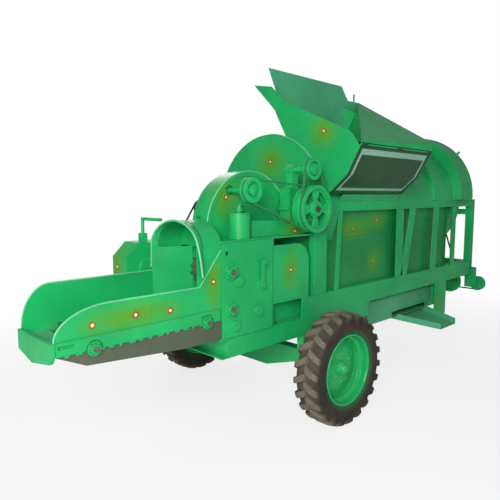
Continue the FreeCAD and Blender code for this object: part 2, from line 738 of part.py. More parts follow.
def axle():
    top = AXLE_Z + BEAM_TOP
    low = AXLE_Z - BEAM_END
    belly = AXLE_Z - BEAM_BELLY
    outline = [(-BEAM_REACH, top), (BEAM_REACH, top), (BEAM_REACH, low), (BEAM_LEVEL_Y, low),
               (BEAM_BELLY_Y, belly), (-BEAM_BELLY_Y, belly), (-BEAM_LEVEL_Y, low), (-BEAM_REACH, low)]
    wall = BEAM_PLATE
    end = BEAM_REACH - wall
    room = [(-end, top - wall), (end, top - wall), (end, low + wall), (BEAM_LEVEL_Y, low + wall),
            (BEAM_BELLY_Y, belly + wall), (-BEAM_BELLY_Y, belly + wall), (-BEAM_LEVEL_Y, low + wall),
            (-end, low + wall)]
    beam = plate_yz(outline, AXLE_X - BEAM_W / 2, AXLE_X + BEAM_W / 2).cut(
        plate_yz(room, AXLE_X - BEAM_W / 2 + wall, AXLE_X + BEAM_W / 2 - wall))
    pedestal = box(AXLE_X - PEDESTAL_L / 2, AXLE_X + PEDESTAL_L / 2, RAIL_Y - LOWER_FLANGE, RAIL_Y,
                   top, LOWER_Z)
    shoulder = rod_y(AXLE_X, BEAM_REACH, TRACK / 2 - HUB_IN - SIDE_PLAY / 2, AXLE_Z, BEAM_END)
    spindle = rod_y(AXLE_X, BEAM_REACH - CUT_OVER, TRACK / 2 + HUB_OUT - SIDE_PLAY, AXLE_Z, SPINDLE_R)
    save("axle_beam", [beam.fuse(both_sides([pedestal, shoulder, spindle])).removeSplitter()])


def brace(shares, width, start, span):
    top_x = start + shares[0] * span
    low_x = start + shares[1] * span
    return plate_xz([(low_x, DECK_Z), (low_x + width, DECK_Z), (top_x + width, BEAM_Z),
                     (top_x, BEAM_Z)], RAIL_Y - BAR_T, RAIL_Y)


def angle_post(x, width):
    """A post folded from plate: one flat outside and one flat at its rear."""
    post = box(x, x + width, RAIL_Y - POST_T, RAIL_Y, DECK_Z, BEAM_Z)
    return post.cut(grown(x, x + width - BAR_T - CUT_OVER, RAIL_Y - POST_T, RAIL_Y - BAR_T - CUT_OVER,
                          DECK_Z - CUT_OVER, BEAM_Z + CUT_OVER))


def upper_frame():
    """Posts, slanting braces and skirts on both sides, then the top beams and their tie."""
    wide_x = AXLE_X + WIDE_POST_X
    wide = box(wide_x, wide_x + WIDE_POST_W, RAIL_Y - POST_T, RAIL_Y, DECK_Z, BEAM_TOP_Z)
    wide = wide.cut(box(wide_x + CHANNEL_T, wide_x + WIDE_POST_W - CHANNEL_T, RAIL_Y - POST_T + CHANNEL_T,
                        RAIL_Y - CHANNEL_T, DECK_Z - CUT_OVER, BEAM_TOP_Z - CHANNEL_T))
    corner_x = AXLE_X + CORNER_X
    corner = box(corner_x, corner_x + CORNER_W, RAIL_Y - CORNER_W, RAIL_Y, DECK_Z, BEAM_Z)
    corner = corner.cut(box(corner_x + BAR_T, corner_x + CORNER_W - BAR_T, RAIL_Y - CORNER_W + BAR_T,
                            RAIL_Y - BAR_T, DECK_Z - CUT_OVER, BEAM_Z + CUT_OVER))
    start = wide_x + WIDE_POST_W
    span = corner_x - start
    solids = [wide, corner, angle_post(start + POST_SHARE * span, POST_W),
              angle_post(start + REAR_POST_SHARE * span, REAR_POST_W),
              brace(SLIM_BRACE_SHARES, SLIM_BRACE_W, start, span),
              brace(BRIGHT_BRACE_SHARES, BRACE_W, start, span),
              brace(REAR_BRACE_SHARES, BRACE_W, start, span)]
    skirt_x = AXLE_X + SKIRT_X
    skirt = box(skirt_x, skirt_x + SKIRT_L, RAIL_Y - SHEET, RAIL_Y, MAIN_Z - SKIRT_DROP, MAIN_Z)
    fold = box(skirt_x, skirt_x + SHEET, RAIL_Y, RAIL_Y + LEDGE_W, MAIN_Z - SKIRT_DROP, MAIN_Z)
    for x in HANGER_XS:
        lug_x = AXLE_X + x + HANGER_T / 2 + SIDE_PLAY
        lug = box(lug_x, lug_x + BAR_T, HANGER_Y - HANGER_W / 2, HANGER_Y + HANGER_W / 2,
                  HANGER_TOP_Z - HANGER_W / 2, MAIN_Z)
        pin = rod_x(lug_x - HANGER_T - 2 * SIDE_PLAY - BAR_T, lug_x, HANGER_Y, HANGER_TOP_Z, HANGER_PIN_R)
        head = rod_x(lug_x - HANGER_T - 2 * SIDE_PLAY - BAR_T, lug_x - HANGER_T - 2 * SIDE_PLAY,
                     HANGER_Y, HANGER_TOP_Z, HANGER_W / 2)
        solids.append(lug.fuse([pin, head]))
    save("posts", both_sides(solids) + [mirrored(skirt.fuse(fold))])
    beam_x = AXLE_X + TOP_BEAM_FRONT
    beam_end = corner_x + CORNER_W
    beam = box(beam_x, beam_end, RAIL_Y - TOP_BEAM_W, RAIL_Y, BEAM_Z, BEAM_TOP_Z)
    beam = beam.cut(grown(beam_x, beam_end, RAIL_Y - TOP_BEAM_W + BEAM_WALL + CUT_OVER,
                          RAIL_Y - BEAM_WALL - CUT_OVER, BEAM_Z + BEAM_WALL, BEAM_TOP_Z - BEAM_WALL))
    tie_z = SHAFT_Z - 2 * MAIN_SHAFT_R - CROSS_W
    tie_y = RAIL_Y - CORNER_W
    tie = box(corner_x, beam_end, -tie_y, tie_y, tie_z, tie_z + CROSS_W)
    save("top_beams", both_sides([beam]) + [tie])


def brackets():
    """Towing plate on the rear cross channel, the stand's pivot bracket and the jack shaft's plate."""
    rear = AXLE_X + MAIN_REAR + CROSS_W
    hitch_z = MAIN_Z + MAIN_RAIL_H / 2 - HITCH_T / 2
    hitch = box(rear, rear + HITCH_L, -HITCH_W / 2, HITCH_W / 2, hitch_z, hitch_z + HITCH_T)
    hitch = hitch.cut(rod_z(rear + HITCH_HOLE_X, 0, hitch_z - CUT_OVER, hitch_z + HITCH_T + CUT_OVER,
                            HITCH_HOLE_R))
    foot = box(rear, rear + PLATE, -HITCH_W, HITCH_W, hitch_z - HITCH_T, hitch_z + 2 * HITCH_T)
    pivot_x = AXLE_X + STAND_X
    pivot_z = MAIN_Z + MAIN_RAIL_H / 2
    plate = box(pivot_x - STAND_TUBE, pivot_x + STAND_TUBE, RAIL_Y, RAIL_Y + PLATE,
                pivot_z - STAND_TUBE, pivot_z + STAND_TUBE)
    pin_end = RAIL_Y + PLATE + STAND_GAP + STAND_TUBE + SIDE_PLAY
    pin = rod_y(pivot_x, RAIL_Y + PLATE - SIDE_PLAY, pin_end, pivot_z, STAND_PIN_R)
    head = rod_y(pivot_x, pin_end, pin_end + BAR_T, pivot_z, STAND_PIN_R + BAR_T)
    jack_w = 2 * JACK_SHAFT_R
    jack = box(rear, rear + PLATE, -JACK_Y - jack_w, -RAIL_Y + MAIN_FLANGE, JACK_Z - jack_w,
               MAIN_Z + MAIN_RAIL_H / 2)
    jack = jack.cut(rod_x(rear - CUT_OVER, rear + PLATE + CUT_OVER, -JACK_Y, JACK_Z,
                          JACK_SHAFT_R + SIDE_PLAY))
    pivot = plate.fuse([pin, head])
    save("frame_brackets", [hitch.fuse(foot).removeSplitter(), pivot.removeSplitter(), jack])


def prop_stand():
    pivot_x = AXLE_X + STAND_X
    pivot_z = MAIN_Z + MAIN_RAIL_H / 2
    y0 = RAIL_Y + PLATE + STAND_GAP
    y1 = y0 + STAND_TUBE
    half = STAND_TUBE / 2
    top = pivot_z + half
    outline = [(pivot_x - half, top), (pivot_x + half, top), (pivot_x + half - STAND_LEAN, FOOT_T),
               (pivot_x - half - STAND_LEAN, FOOT_T)]
    tube = plate_xz(outline, y0, y1)
    wall = STAND_WALL
    bore = [(pivot_x - half + wall, top + CUT_OVER), (pivot_x + half - wall, top + CUT_OVER),
            (pivot_x + half - wall - STAND_LEAN, FOOT_T - CUT_OVER),
            (pivot_x - half + wall - STAND_LEAN, FOOT_T - CUT_OVER)]
    tube = tube.cut(plate_xz(bore, y0 + wall, y1 - wall))
    eye = rod_y(pivot_x, y0, y1, pivot_z, STAND_PIN_R + wall)
    foot_x = pivot_x - STAND_LEAN
    foot_y = y0 - STAND_GAP
    foot = box(foot_x - FOOT_L / 2, foot_x + FOOT_L / 2, foot_y, foot_y + FOOT_L, 0, FOOT_T)
    leg = tube.fuse([eye, foot]).removeSplitter()
    save("prop_stand", [leg.cut(rod_y(pivot_x, y0 - CUT_OVER, y1 + CUT_OVER, pivot_z, STAND_PIN_R + RUN))])


# Drum casing, scroll and lower body

def posts_cut():
    """The room that the wide front posts take."""
    wide_x = AXLE_X + WIDE_POST_X
    return both_sides([box(wide_x, wide_x + WIDE_POST_W, RAIL_Y - POST_T, RAIL_Y + CASING_R,
                           DECK_Z - CUT_OVER, BEAM_TOP_Z)])


def front_plate():
    x1 = FACE_X + SHEET
    disc = rod_x(FACE_X, x1, 0, SHAFT_Z, CASING_R + FACE_RISE)
    lower = box(FACE_X, x1, -BODY_HALF_W, BODY_HALF_W, DECK_Z, SHAFT_Z).fuse(
        box(FACE_X, x1, -FLANGE_Y, FLANGE_Y, MAIN_Z, DECK_Z))
    inlet = box(FACE_X - CUT_OVER, x1 + CUT_OVER, -INLET_NEAR, CHOPPER_WALL_FAR, DECK_Z + INLET_LOW,
                DECK_Z + INLET_LOW + INLET_H)
    shaft_hole = rod_x(FACE_X - CUT_OVER, x1 + CUT_OVER, 0, SHAFT_Z, MAIN_SHAFT_R + SIDE_PLAY)
    plate = disc.fuse(lower).cut(posts_cut() + [inlet, shaft_hole]).removeSplitter()
    save("casing_front_plate", [plate])


def arch(x0, x1, centre_z, r, low_z):
    """A round shell along the machine, cut off below low_z."""
    ring = rod_x(x0, x1, 0, centre_z, r).cut(rod_x(x0 - CUT_OVER, x1 + CUT_OVER, 0, centre_z, r - SHEET))
    return ring.cut(grown(x0, x1, -r - CUT_OVER, r + CUT_OVER, centre_z - r - CUT_OVER, low_z))


def band(x0, x1, centre_z, r):
    """A raised band over an arch, standing on the top beams."""
    return rod_x(x0, x1, 0, centre_z, r + BAND_RISE).cut(
        [rod_x(x0 - CUT_OVER, x1 + CUT_OVER, 0, centre_z, r),
         grown(x0, x1, -2 * r, 2 * r, centre_z - 2 * r, BEAM_TOP_Z)])


def casing():
    x1 = FACE_X + SHEET
    beam_x = AXLE_X + TOP_BEAM_FRONT
    collar = arch(x1, beam_x, SHAFT_Z, CASING_R, CHEEK_Z)
    front = arch(beam_x, STEP_X, SHAFT_Z, CASING_R, BEAM_TOP_Z)
    mouth = box(x1 + MOUTH_EDGE, FACE_X + HOPPER_LENGTH - BORDER_W, -CASING_R - CUT_OVER, -MOUTH_EDGE,
                SHAFT_Z + HOPPER_EDGE * DOOR_LOW_SHARES[1], SHAFT_Z + CASING_R + CUT_OVER)
    shell = collar.fuse(front).cut(posts_cut() + [mouth]).removeSplitter()
    rear_z = SHAFT_Z + REAR_LIFT
    rear = arch(STEP_X, SCROLL_X, rear_z, CASING_R, BEAM_TOP_Z)
    step = rod_x(STEP_X, STEP_X + SHEET, 0, rear_z, CASING_R - SHEET).cut(
        [rod_x(STEP_X - CUT_OVER, STEP_X + BAR_T, 0, SHAFT_Z, CASING_R - SHEET),
         grown(STEP_X, STEP_X + SHEET, -CASING_R, CASING_R, SHAFT_Z - CASING_R, BEAM_TOP_Z)])
    raised = band(STEP_X, STEP_X + BAND_L, rear_z, CASING_R)
    save("casing_shell", [shell, rear.fuse([step, raised]).removeSplitter()])


def scroll():
    """Blower housing: round above the top beams, narrower below, with an outlet duct on the far side."""
    x0, x1 = SCROLL_X, SCROLL_X + SCROLL_L
    centre = SHAFT_Z + SCROLL_LIFT
    duct_z = centre + SCROLL_R - DUCT_H

    def body(inset):
        upper = rod_x(x0 + inset, x1 - inset, 0, centre, SCROLL_R - inset).cut(
            box(x0, x1, -SCROLL_R, SCROLL_R, centre - SCROLL_R, BEAM_TOP_Z + inset))
        lower = rod_x(x0 + inset, x1 - inset, 0, SHAFT_Z, SCROLL_LOW_R - inset)
        neck = box(x0 + inset, x1 - inset, -SCROLL_LOW_R + inset, SCROLL_LOW_R - inset, SHAFT_Z, centre)
        duct = box(x0 + inset, x1 - inset, 0, DUCT_OUT + inset, duct_z + inset, centre + SCROLL_R - inset)
        return upper.fuse([lower, neck, duct])

    inlet = rod_x(x0 - CUT_OVER, x0 + 2 * SHEET, 0, SHAFT_Z, 0.8 * SCROLL_LOW_R)
    shaft_hole = rod_x(x1 - 2 * SHEET, x1 + CUT_OVER, 0, SHAFT_Z, MAIN_SHAFT_R + SIDE_PLAY)
    whole = body(0).removeSplitter()
    front = whole.common(box(x0, x0 + SHEET, -SCROLL_R, DUCT_OUT, 0, centre + SCROLL_R)).cut(inlet)
    rear = whole.common(box(x1 - SHEET, x1, -SCROLL_R, DUCT_OUT, 0, centre + SCROLL_R)).cut(shaft_hole)
    wrap = whole.cut([body(SHEET).removeSplitter(), front, rear, inlet, shaft_hole])
    saddle_z = DECK_Z - CHANNEL_T
    half = 0.4 * SCROLL_LOW_R
    saddle_x = SCROLL_X + CROSS_W / 2
    saddle = box(saddle_x, saddle_x + PLATE, -half, half, saddle_z, SHAFT_Z).cut(
        rod_x(saddle_x - CUT_OVER, saddle_x + 2 * CUT_OVER + PLATE, 0, SHAFT_Z, SCROLL_LOW_R))
    save("rear_scroll", [front, rear, wrap, saddle])


def body_panels():
    """Lower side panels with a pressed ledge, and the wall and floor below the casing's rear end."""
    x0 = AXLE_X + TOP_BEAM_FRONT
    inner = BODY_HALF_W - SHEET
    ledge_z = DECK_Z + LEDGE_Z
    panel = box(x0, SCROLL_X, inner, BODY_HALF_W, DECK_Z, BEAM_Z)
    ledge = box(x0, STEP_X, BODY_HALF_W, BODY_HALF_W + LEDGE_H, ledge_z, ledge_z + LEDGE_W)
    cheek = box(FACE_X + SHEET, x0, inner, BODY_HALF_W, DECK_Z, CHEEK_Z)
    side = panel.fuse([ledge, cheek]).removeSplitter()
    floor_z = DECK_Z - CHANNEL_T
    tail = box(SCROLL_X - SHEET, SCROLL_X, -inner, inner, DECK_Z, BEAM_Z).fuse(
        box(SCROLL_X - SHEET, SCROLL_X, -FLANGE_Y, FLANGE_Y, floor_z, DECK_Z))
    tail = tail.cut(rod_x(SCROLL_X - 2 * SHEET, SCROLL_X + SHEET, 0, SHAFT_Z, 0.8 * SCROLL_LOW_R))
    floor = box(STEP_X, SCROLL_X - SHEET, -FLANGE_Y, FLANGE_Y, floor_z, floor_z + SHEET)
    save("body_panels", both_sides([side]) + [tail.removeSplitter(), floor])


def concave():
    """The grid below the drum: curved ribs on arms, with round bars from rib to rib."""
    r = BEATER_R + 2 * BAR_T
    mid_r = r + BAR_T
    x0 = AXLE_X + DRUM_FRONT
    x1 = AXLE_X + DRUM_REAR
    reach = BODY_HALF_W - SHEET
    ribs = []
    rib_xs = (x0, (x0 + x1 - PLATE) / 2, x1 - PLATE)
    for x in rib_xs:
        rib = rod_x(x, x + PLATE, 0, SHAFT_Z, r + 2 * BAR_T).cut(
            [rod_x(x - CUT_OVER, x + PLATE + CUT_OVER, 0, SHAFT_Z, r),
             grown(x, x + PLATE, -2 * r, 2 * r, SHAFT_Z - 0.3 * r, SHAFT_Z + 2 * r)])
        arm_z = SHAFT_Z - 0.5 * r
        arm = box(x, x + PLATE, 0.85 * r, reach, arm_z, arm_z + 3 * BAR_T)
        arm = arm.cut(rod_x(x - CUT_OVER, x + PLATE + CUT_OVER, 0, SHAFT_Z, r))
        ribs.append(rib.fuse(both_sides([arm])))
    bars = []
    for i in range(CONCAVE_BARS):
        turn = math.radians(-CONCAVE_WRAP / 2 - 90 + CONCAVE_WRAP * i / (CONCAVE_BARS - 1))
        y, z = mid_r * math.cos(turn), SHAFT_Z + mid_r * math.sin(turn)
        for start, end in zip(rib_xs, rib_xs[1:]):
            bars.append(rod_x(start + PLATE, end, y, z, BAR_T / 2))
    save("concave", ribs + bars)


# Hopper on top of the casing

def hopper_point(share_y, share_z):
    return (share_y * HOPPER_OUT, SHAFT_Z + share_z * HOPPER_TOP)


def door_line():
    """The banner door's three section points, from its lower edge to its hinge."""
    low = (-DOOR_LOW_SHARES[0] * HOPPER_OUT, SHAFT_Z + DOOR_LOW_SHARES[1] * HOPPER_EDGE)
    mid = (-DOOR_MID_SHARES[0] * HOPPER_OUT, SHAFT_Z + DOOR_MID_SHARES[1] * HOPPER_EDGE)
    return [low, mid, (-HOPPER_OUT, SHAFT_Z + HOPPER_EDGE - DOOR_HANG)]


def hopper():
    x0, x1 = FACE_X, FACE_X + HOPPER_LENGTH
    line = door_line()
    drum_hole = rod_x(x0 - CUT_OVER, x1 + CUT_OVER, 0, SHAFT_Z, CASING_R + FACE_RISE)
    casing_hole = rod_x(x0 - CUT_OVER, x1 + CUT_OVER, 0, SHAFT_Z, CASING_R)
    edge = (-HOPPER_OUT, SHAFT_Z + HOPPER_EDGE)
    outline = line + [edge] + [hopper_point(y, z) for y, z in FRONT_WALL_SHARES]
    foot = [(-0.2 * CASING_R, SHAFT_Z), (line[0][0], SHAFT_Z + FACE_RISE)]
    front = plate_yz(outline + foot, x0, x0 + SHEET)
    front = front.cut([drum_hole, box(x0 - CUT_OVER, x0 + 2 * SHEET, -HOPPER_OUT, 0, SHAFT_Z - CASING_R,
                                      line[0][1] - BORDER_W)]).removeSplitter()
    save("hopper_front_wall", [front])
    crown = SHAFT_Z + CASING_R
    top = SHAFT_Z + HOPPER_TOP
    tip_x = x0 + HOPPER_LIP
    tip_z = SHAFT_Z + HOPPER_TIP
    wall = plate_xz([(x0 + SHEET + HOPPER_LEAN, crown), (x0 + SHEET, top), (x1 - 2 * BORDER_W, top),
                     (x1 + 2 * BORDER_W, tip_z), (tip_x, tip_z), (x1 + BORDER_W, crown)], 0, SHEET)
    save("hopper_far_wall", [wall])
    # Cover with its slanted front edge, the chute plate below that edge and the rear plate
    corner = V(x0 + HOPPER_CORNER, -HOPPER_OUT, SHAFT_Z + HOPPER_EDGE + HOPPER_CORNER_RISE)
    start = V(x0 + SHEET, -HOPPER_OUT, SHAFT_Z + HOPPER_EDGE)
    tip = V(tip_x, 0, tip_z)
    normal = (corner - start).cross(tip - start)
    normal.normalize()
    cover = sheet([start, corner, tip], normal * SHEET)
    beyond = box(x0, tip_x + CUT_OVER, 0, CUT_OVER, SHAFT_Z, top)
    low = V(x1 - BORDER_W, 0, crown + FACE_RISE)
    chute_normal = (tip - start).cross(low - start)
    chute_normal.normalize()
    chute = sheet([start, tip, low], chute_normal * SHEET)
    fall = (corner.z - start.z) / (corner.x - start.x)
    ends = [(x, start.z - SEAT + fall * (x - start.x)) for x in (x1 - SHEET, start.x + BORDER_W)]
    hem = plate_xz(ends + [(start.x + BORDER_W, start.z), (x1 - SHEET, start.z)], -HOPPER_OUT,
                   -HOPPER_OUT + SHEET)
    rise = (tip_z - start.z) / HOPPER_OUT
    back_z = start.z + HOPPER_CORNER_RISE * HOPPER_LENGTH / HOPPER_CORNER
    back_top = tip_z - SHEET - rise * HOPPER_OUT * HOPPER_BACK_SHARE
    back = plate_yz(line + [(-HOPPER_OUT, back_z - SHEET), (0, back_top), (0, SHAFT_Z)], x1 - SHEET, x1)
    under = sheet([start, corner, tip], normal * HOPPER_TOP)
    back = back.cut([casing_hole, under, box(x0, x1 + SHEET, -HOPPER_OUT, 0, SHAFT_Z - CASING_R,
                                             line[0][1] - BORDER_W)]).removeSplitter()
    sill_y = line[0][0]
    sill_z = line[0][1] - DOOR_T
    sill = plate_yz([(-RAIL_Y, BEAM_TOP_Z), (-RAIL_Y + SHEET, BEAM_TOP_Z), (sill_y + SHEET, sill_z),
                     (sill_y, sill_z)], AXLE_X + TOP_BEAM_FRONT, x1 - SHEET).cut(casing_hole)
    pin = rod_x(x0 + SHEET, x1 - SHEET, -HOPPER_OUT, SHAFT_Z + HOPPER_EDGE - DOOR_HANG, DOOR_PIN_R)
    save("hopper_cover", [cover.fuse(chute).cut(beyond).removeSplitter(), back, sill, pin, hem])


def banner_door():
    """The curved door below the hopper's near edge, with its border strips and hinge knuckles."""
    x0, x1 = FACE_X + SHEET + SIDE_PLAY, FACE_X + HOPPER_LENGTH - SHEET - SIDE_PLAY
    low, mid, hinge = door_line()
    leaf_top = (hinge[0] + 0.5 * KNUCKLE_R, hinge[1] - 0.7 * KNUCKLE_R)
    inward = V(DOOR_T * 0.8, -DOOR_T * 0.6, 0)
    inner = [(y + inward.x, z + inward.y) for y, z in (leaf_top, mid, low)]
    leaf = plate_yz([low, mid, leaf_top] + inner, x0, x1)
    strips = []
    for x in (x0, x1 - BORDER_W):
        outer = [(y - BORDER_T, z - BORDER_T) for y, z in (leaf_top, mid, low)]
        strips.append(plate_yz([low, mid, leaf_top] + outer, x, x + BORDER_W))
    knuckles = []
    for i in range(KNUCKLES):
        x = x0 + (x1 - x0 - KNUCKLE_L) * i / (KNUCKLES - 1)
        knuckles.append(rod_x(x, x + KNUCKLE_L, hinge[0], hinge[1], KNUCKLE_R))
    door = leaf.fuse(strips + knuckles)
    door = door.cut(rod_x(x0 - CUT_OVER, x1 + CUT_OVER, hinge[0], hinge[1], DOOR_PIN_R + RUN))
    save("banner_door", [door.removeSplitter()])


# Turning pieces on the main shaft

def rotor():
    end = AXLE_X + REAR_OVERHANG
    bevel_x = DRIVE_X + BEVEL_R - BEVEL_FACE
    shaft = rod_x(bevel_x, end - SPLINE_L, 0, SHAFT_Z, MAIN_SHAFT_R)
    stub = rod_x(end - SPLINE_L - CUT_OVER, end, 0, SHAFT_Z, SPLINE_R)
    bevel = turned_x(bevel_profile(bevel_x, 1, MAIN_SHAFT_R - BAR_T), 0, SHAFT_Z)
    mid = AXLE_X + REAR_PULLEY_X
    pulley = turned_x(pulley_profile(mid, REAR_PULLEY_R, PULLEY_W, MAIN_SHAFT_R - BAR_T, 2 * MAIN_SHAFT_R,
                                     PULLEY_W), 0, SHAFT_Z)
    save("main_shaft", [shaft.fuse([stub, bevel, pulley]).removeSplitter()])


def bevel_profile(place, way, bore):
    """Half section of a mitre gear whose small end is at place and which widens along way."""
    small = BEVEL_R - BEVEL_FACE - SIDE_PLAY
    large = BEVEL_R - SIDE_PLAY
    back = place + way * 1.4 * BEVEL_FACE
    return [(bore, place), (small, place), (large, place + way * BEVEL_FACE),
            (large - BAR_T, back), (bore, back)]


def threshing_drum():
    """Hollow core, discs on it and pegged bars let into the discs' rims."""
    x0, x1 = AXLE_X + DRUM_FRONT, AXLE_X + DRUM_REAR
    bars = []
    for i in range(BEATER_BARS):
        bar = box(x0, x1, -BEATER_W / 2, BEATER_W / 2, SHAFT_Z + 0.76 * BEATER_R, SHAFT_Z + 0.86 * BEATER_R)
        for j in range(BEATER_PEGS):
            peg_x = x0 + (x1 - x0) * (j + 0.5) / BEATER_PEGS
            bar = bar.fuse(box(peg_x, peg_x + SPIDER_T, -BEATER_W / 4, BEATER_W / 4,
                               SHAFT_Z + 0.8 * BEATER_R, SHAFT_Z + BEATER_R))
        bar.rotate(V(0, 0, SHAFT_Z), V(1, 0, 0), 360.0 * i / BEATER_BARS)
        bars.append(bar.removeSplitter())
    solid_core = rod_x(x0, x1, 0, SHAFT_Z, DRUM_CORE_R)
    spiders = []
    for i in range(SPIDERS):
        x = x0 + (x1 - x0 - SPIDER_T) * i / (SPIDERS - 1)
        spiders.append(rod_x(x, x + SPIDER_T, 0, SHAFT_Z, 0.8 * BEATER_R).cut([solid_core] + bars))
    core = solid_core.cut([rod_x(x0 + SPIDER_T, x1 - SPIDER_T, 0, SHAFT_Z, DRUM_CORE_R - DRUM_WALL),
                           rod_x(x0 - CUT_OVER, x1 + CUT_OVER, 0, SHAFT_Z, MAIN_SHAFT_R)])
    save("threshing_drum", [core] + spiders + bars)


def blower_fan():
    x0 = SCROLL_X + (SCROLL_L - FAN_W) / 2
    x1 = x0 + FAN_W
    hub = rod_x(x0, x1, 0, SHAFT_Z, FAN_HUB_R)
    disc = rod_x(x0, x0 + SPIDER_T, 0, SHAFT_Z, 0.6 * FAN_R).cut(hub)
    blades = []
    for i in range(FAN_BLADES):
        blade = box(x0 + SPIDER_T, x1, -SPIDER_T / 2, SPIDER_T / 2, SHAFT_Z + 0.5 * FAN_HUB_R,
                    SHAFT_Z + FAN_R)
        blade.rotate(V(0, 0, SHAFT_Z), V(1, 0, 0), 360.0 * i / FAN_BLADES)
        blades.append(blade.cut(hub))
    bore = rod_x(x0 - CUT_OVER, x1 + CUT_OVER, 0, SHAFT_Z, MAIN_SHAFT_R)
    save("blower_fan", [hub.cut(bore), disc] + blades)


# Cross drive, countershaft and their pulleys

def kidney_holes(x, z, y0, y1, count, r_in, r_out, reach):
    """Curved slots through a pulley's web."""
    holes = []
    for i in range(count):
        middle = 360.0 * (i + 0.5) / count
        points = arc_points(x, z, r_out, middle - reach, middle + reach, 8)
        points += arc_points(x, z, r_in, middle + reach, middle - reach, 8)
        holes.append(plate_xz(points, y0, y1))
    return holes


def drive_pieces():
    near = -BIG_PULLEY_Y - PULLEY_W / 2 - BAR_T
    shaft = rod_y(DRIVE_X, near, FAR_BELT_Y + PULLEY_W / 2, SHAFT_Z, CROSS_SHAFT_R)
    bevel = turned_y(bevel_profile(-BEVEL_R + BEVEL_FACE, -1, CROSS_SHAFT_R - BAR_T), DRIVE_X, SHAFT_Z)
    far = turned_y(pulley_profile(FAR_BELT_Y, FAR_DRIVE_R, PULLEY_W, CROSS_SHAFT_R - BAR_T, HUB_R, PULLEY_W),
                   DRIVE_X, SHAFT_Z)
    save("cross_shaft", [shaft.fuse([bevel, far]).removeSplitter()])
    outer, inner = [turned_y(pulley_profile(y, BIG_PULLEY_R, PULLEY_W, CROSS_SHAFT_R, HUB_R, PULLEY_W),
                             DRIVE_X, SHAFT_Z) for y in (-BIG_PULLEY_Y, -BIG_PULLEY_Y + PULLEY_W)]
    holes = kidney_holes(DRIVE_X, SHAFT_Z, -BIG_PULLEY_Y - PULLEY_W, -BIG_PULLEY_Y + 2 * PULLEY_W, 4,
                         HUB_R + WEB_T, BIG_PULLEY_R - RIM_DEPTH - WEB_T, KIDNEY_REACH)
    save("big_pulley", [outer.fuse(inner).removeSplitter().cut(holes)])
    bore = COUNTER_SHAFT_R - BAR_T
    counter = rod_y(COUNTER_X, near, -HOUSING_NEAR + HOUSING_WALL + CROSS_W, COUNTER_Z, COUNTER_SHAFT_R)
    small = turned_y(pulley_profile(-BIG_PULLEY_Y, COUNTER_R, PULLEY_W, bore, 2 * COUNTER_SHAFT_R, PULLEY_W),
                     COUNTER_X, COUNTER_Z)
    save("counter_shaft", [counter.fuse(small).removeSplitter()])


def bevel_housing():
    """The housing of the mitre gears on its foot on the table, notched beside the half-round cover."""
    x0, x1 = DRIVE_X - HOUSING_W / 2, DRIVE_X + HOUSING_W / 2
    z0, z1 = SHAFT_Z - HOUSING_LOW, SHAFT_Z + HOUSING_HIGH
    wall = HOUSING_WALL
    outer = box(x0, x1, -HOUSING_NEAR, HOUSING_FAR, z0, z1)
    inner = box(x0 + wall, x1 - wall, -HOUSING_NEAR + wall, HOUSING_FAR - wall, z0 + wall, z1 - wall)
    notch_x = DRIVE_X + CROSS_SHAFT_R + SHEET
    notch_y0, notch_y1 = -COVER_NEAR - wall, -COVER_NEAR + COVER_W + wall
    notch = box(x0 - LEDGE_W, notch_x, notch_y0, notch_y1, TABLE_Z, z1 + CUT_OVER)
    solid = box(x0, notch_x + wall, notch_y0 - wall, notch_y1 + wall, z0, z1)
    inset = HOUSING_FOOT_INSET
    foot_x1 = AXLE_X + WIDE_POST_X
    foot = box(x0 + inset, foot_x1, -HOUSING_NEAR + inset, HOUSING_FAR - inset, TABLE_TOP, z0)
    foot = foot.cut(box(x0 + inset + wall, foot_x1 - wall, -HOUSING_NEAR + inset + wall,
                        HOUSING_FAR - inset - wall, TABLE_TOP - CUT_OVER, z0))
    seam = box(x0 - LEDGE_W / 2, x0, -HOUSING_NEAR, HOUSING_FAR, SHAFT_Z - wall, SHAFT_Z + wall)
    shell = outer.cut(inner.cut(solid)).fuse([foot, seam]).cut(notch)
    cross = rod_y(DRIVE_X, -HOUSING_NEAR - CUT_OVER, HOUSING_FAR + CUT_OVER, SHAFT_Z,
                  CROSS_SHAFT_R + SIDE_PLAY)
    main = rod_x(x1 - 2 * wall, x1 + CUT_OVER, 0, SHAFT_Z, MAIN_SHAFT_R + SIDE_PLAY)
    save("bevel_housing", [shell.cut([cross, main]).removeSplitter()])


def pillow_block(axis, place, shaft_r, width, base_z):
    """A pillow block about a shaft along axis through place, on a foot at base_z."""
    body_r = 2 * shaft_r
    block = rod_y(0, 0, width, 0, body_r)
    foot = box(-1.7 * body_r, 1.7 * body_r, 0, width, base_z - place.z, base_z - place.z + BAR_T)
    neck = box(-0.8 * body_r, 0.8 * body_r, 0, width, base_z - place.z, 0)
    bore = rod_y(0, -CUT_OVER, width + CUT_OVER, 0, shaft_r + RUN)
    block = block.fuse([foot, neck]).cut(bore).removeSplitter()
    if axis.x:
        block.rotate(V(0, 0, 0), V(0, 0, 1), -90)
    block.translate(place)
    return block


def hanging_block(x, base_z):
    """A hung bearing of the eccentric shaft, below a cross member."""
    half = 2 * ECC_SHAFT_R
    block = rod_x(x, x + CROSS_W / 2, -ECC_Y, JACK_Z, half)
    hanger = box(x, x + CROSS_W / 2, -ECC_Y - half, -ECC_Y + half, JACK_Z, base_z)
    return block.fuse(hanger).cut(
        rod_x(x - CUT_OVER, x + CROSS_W, -ECC_Y, JACK_Z, ECC_SHAFT_R + RUN)).removeSplitter()


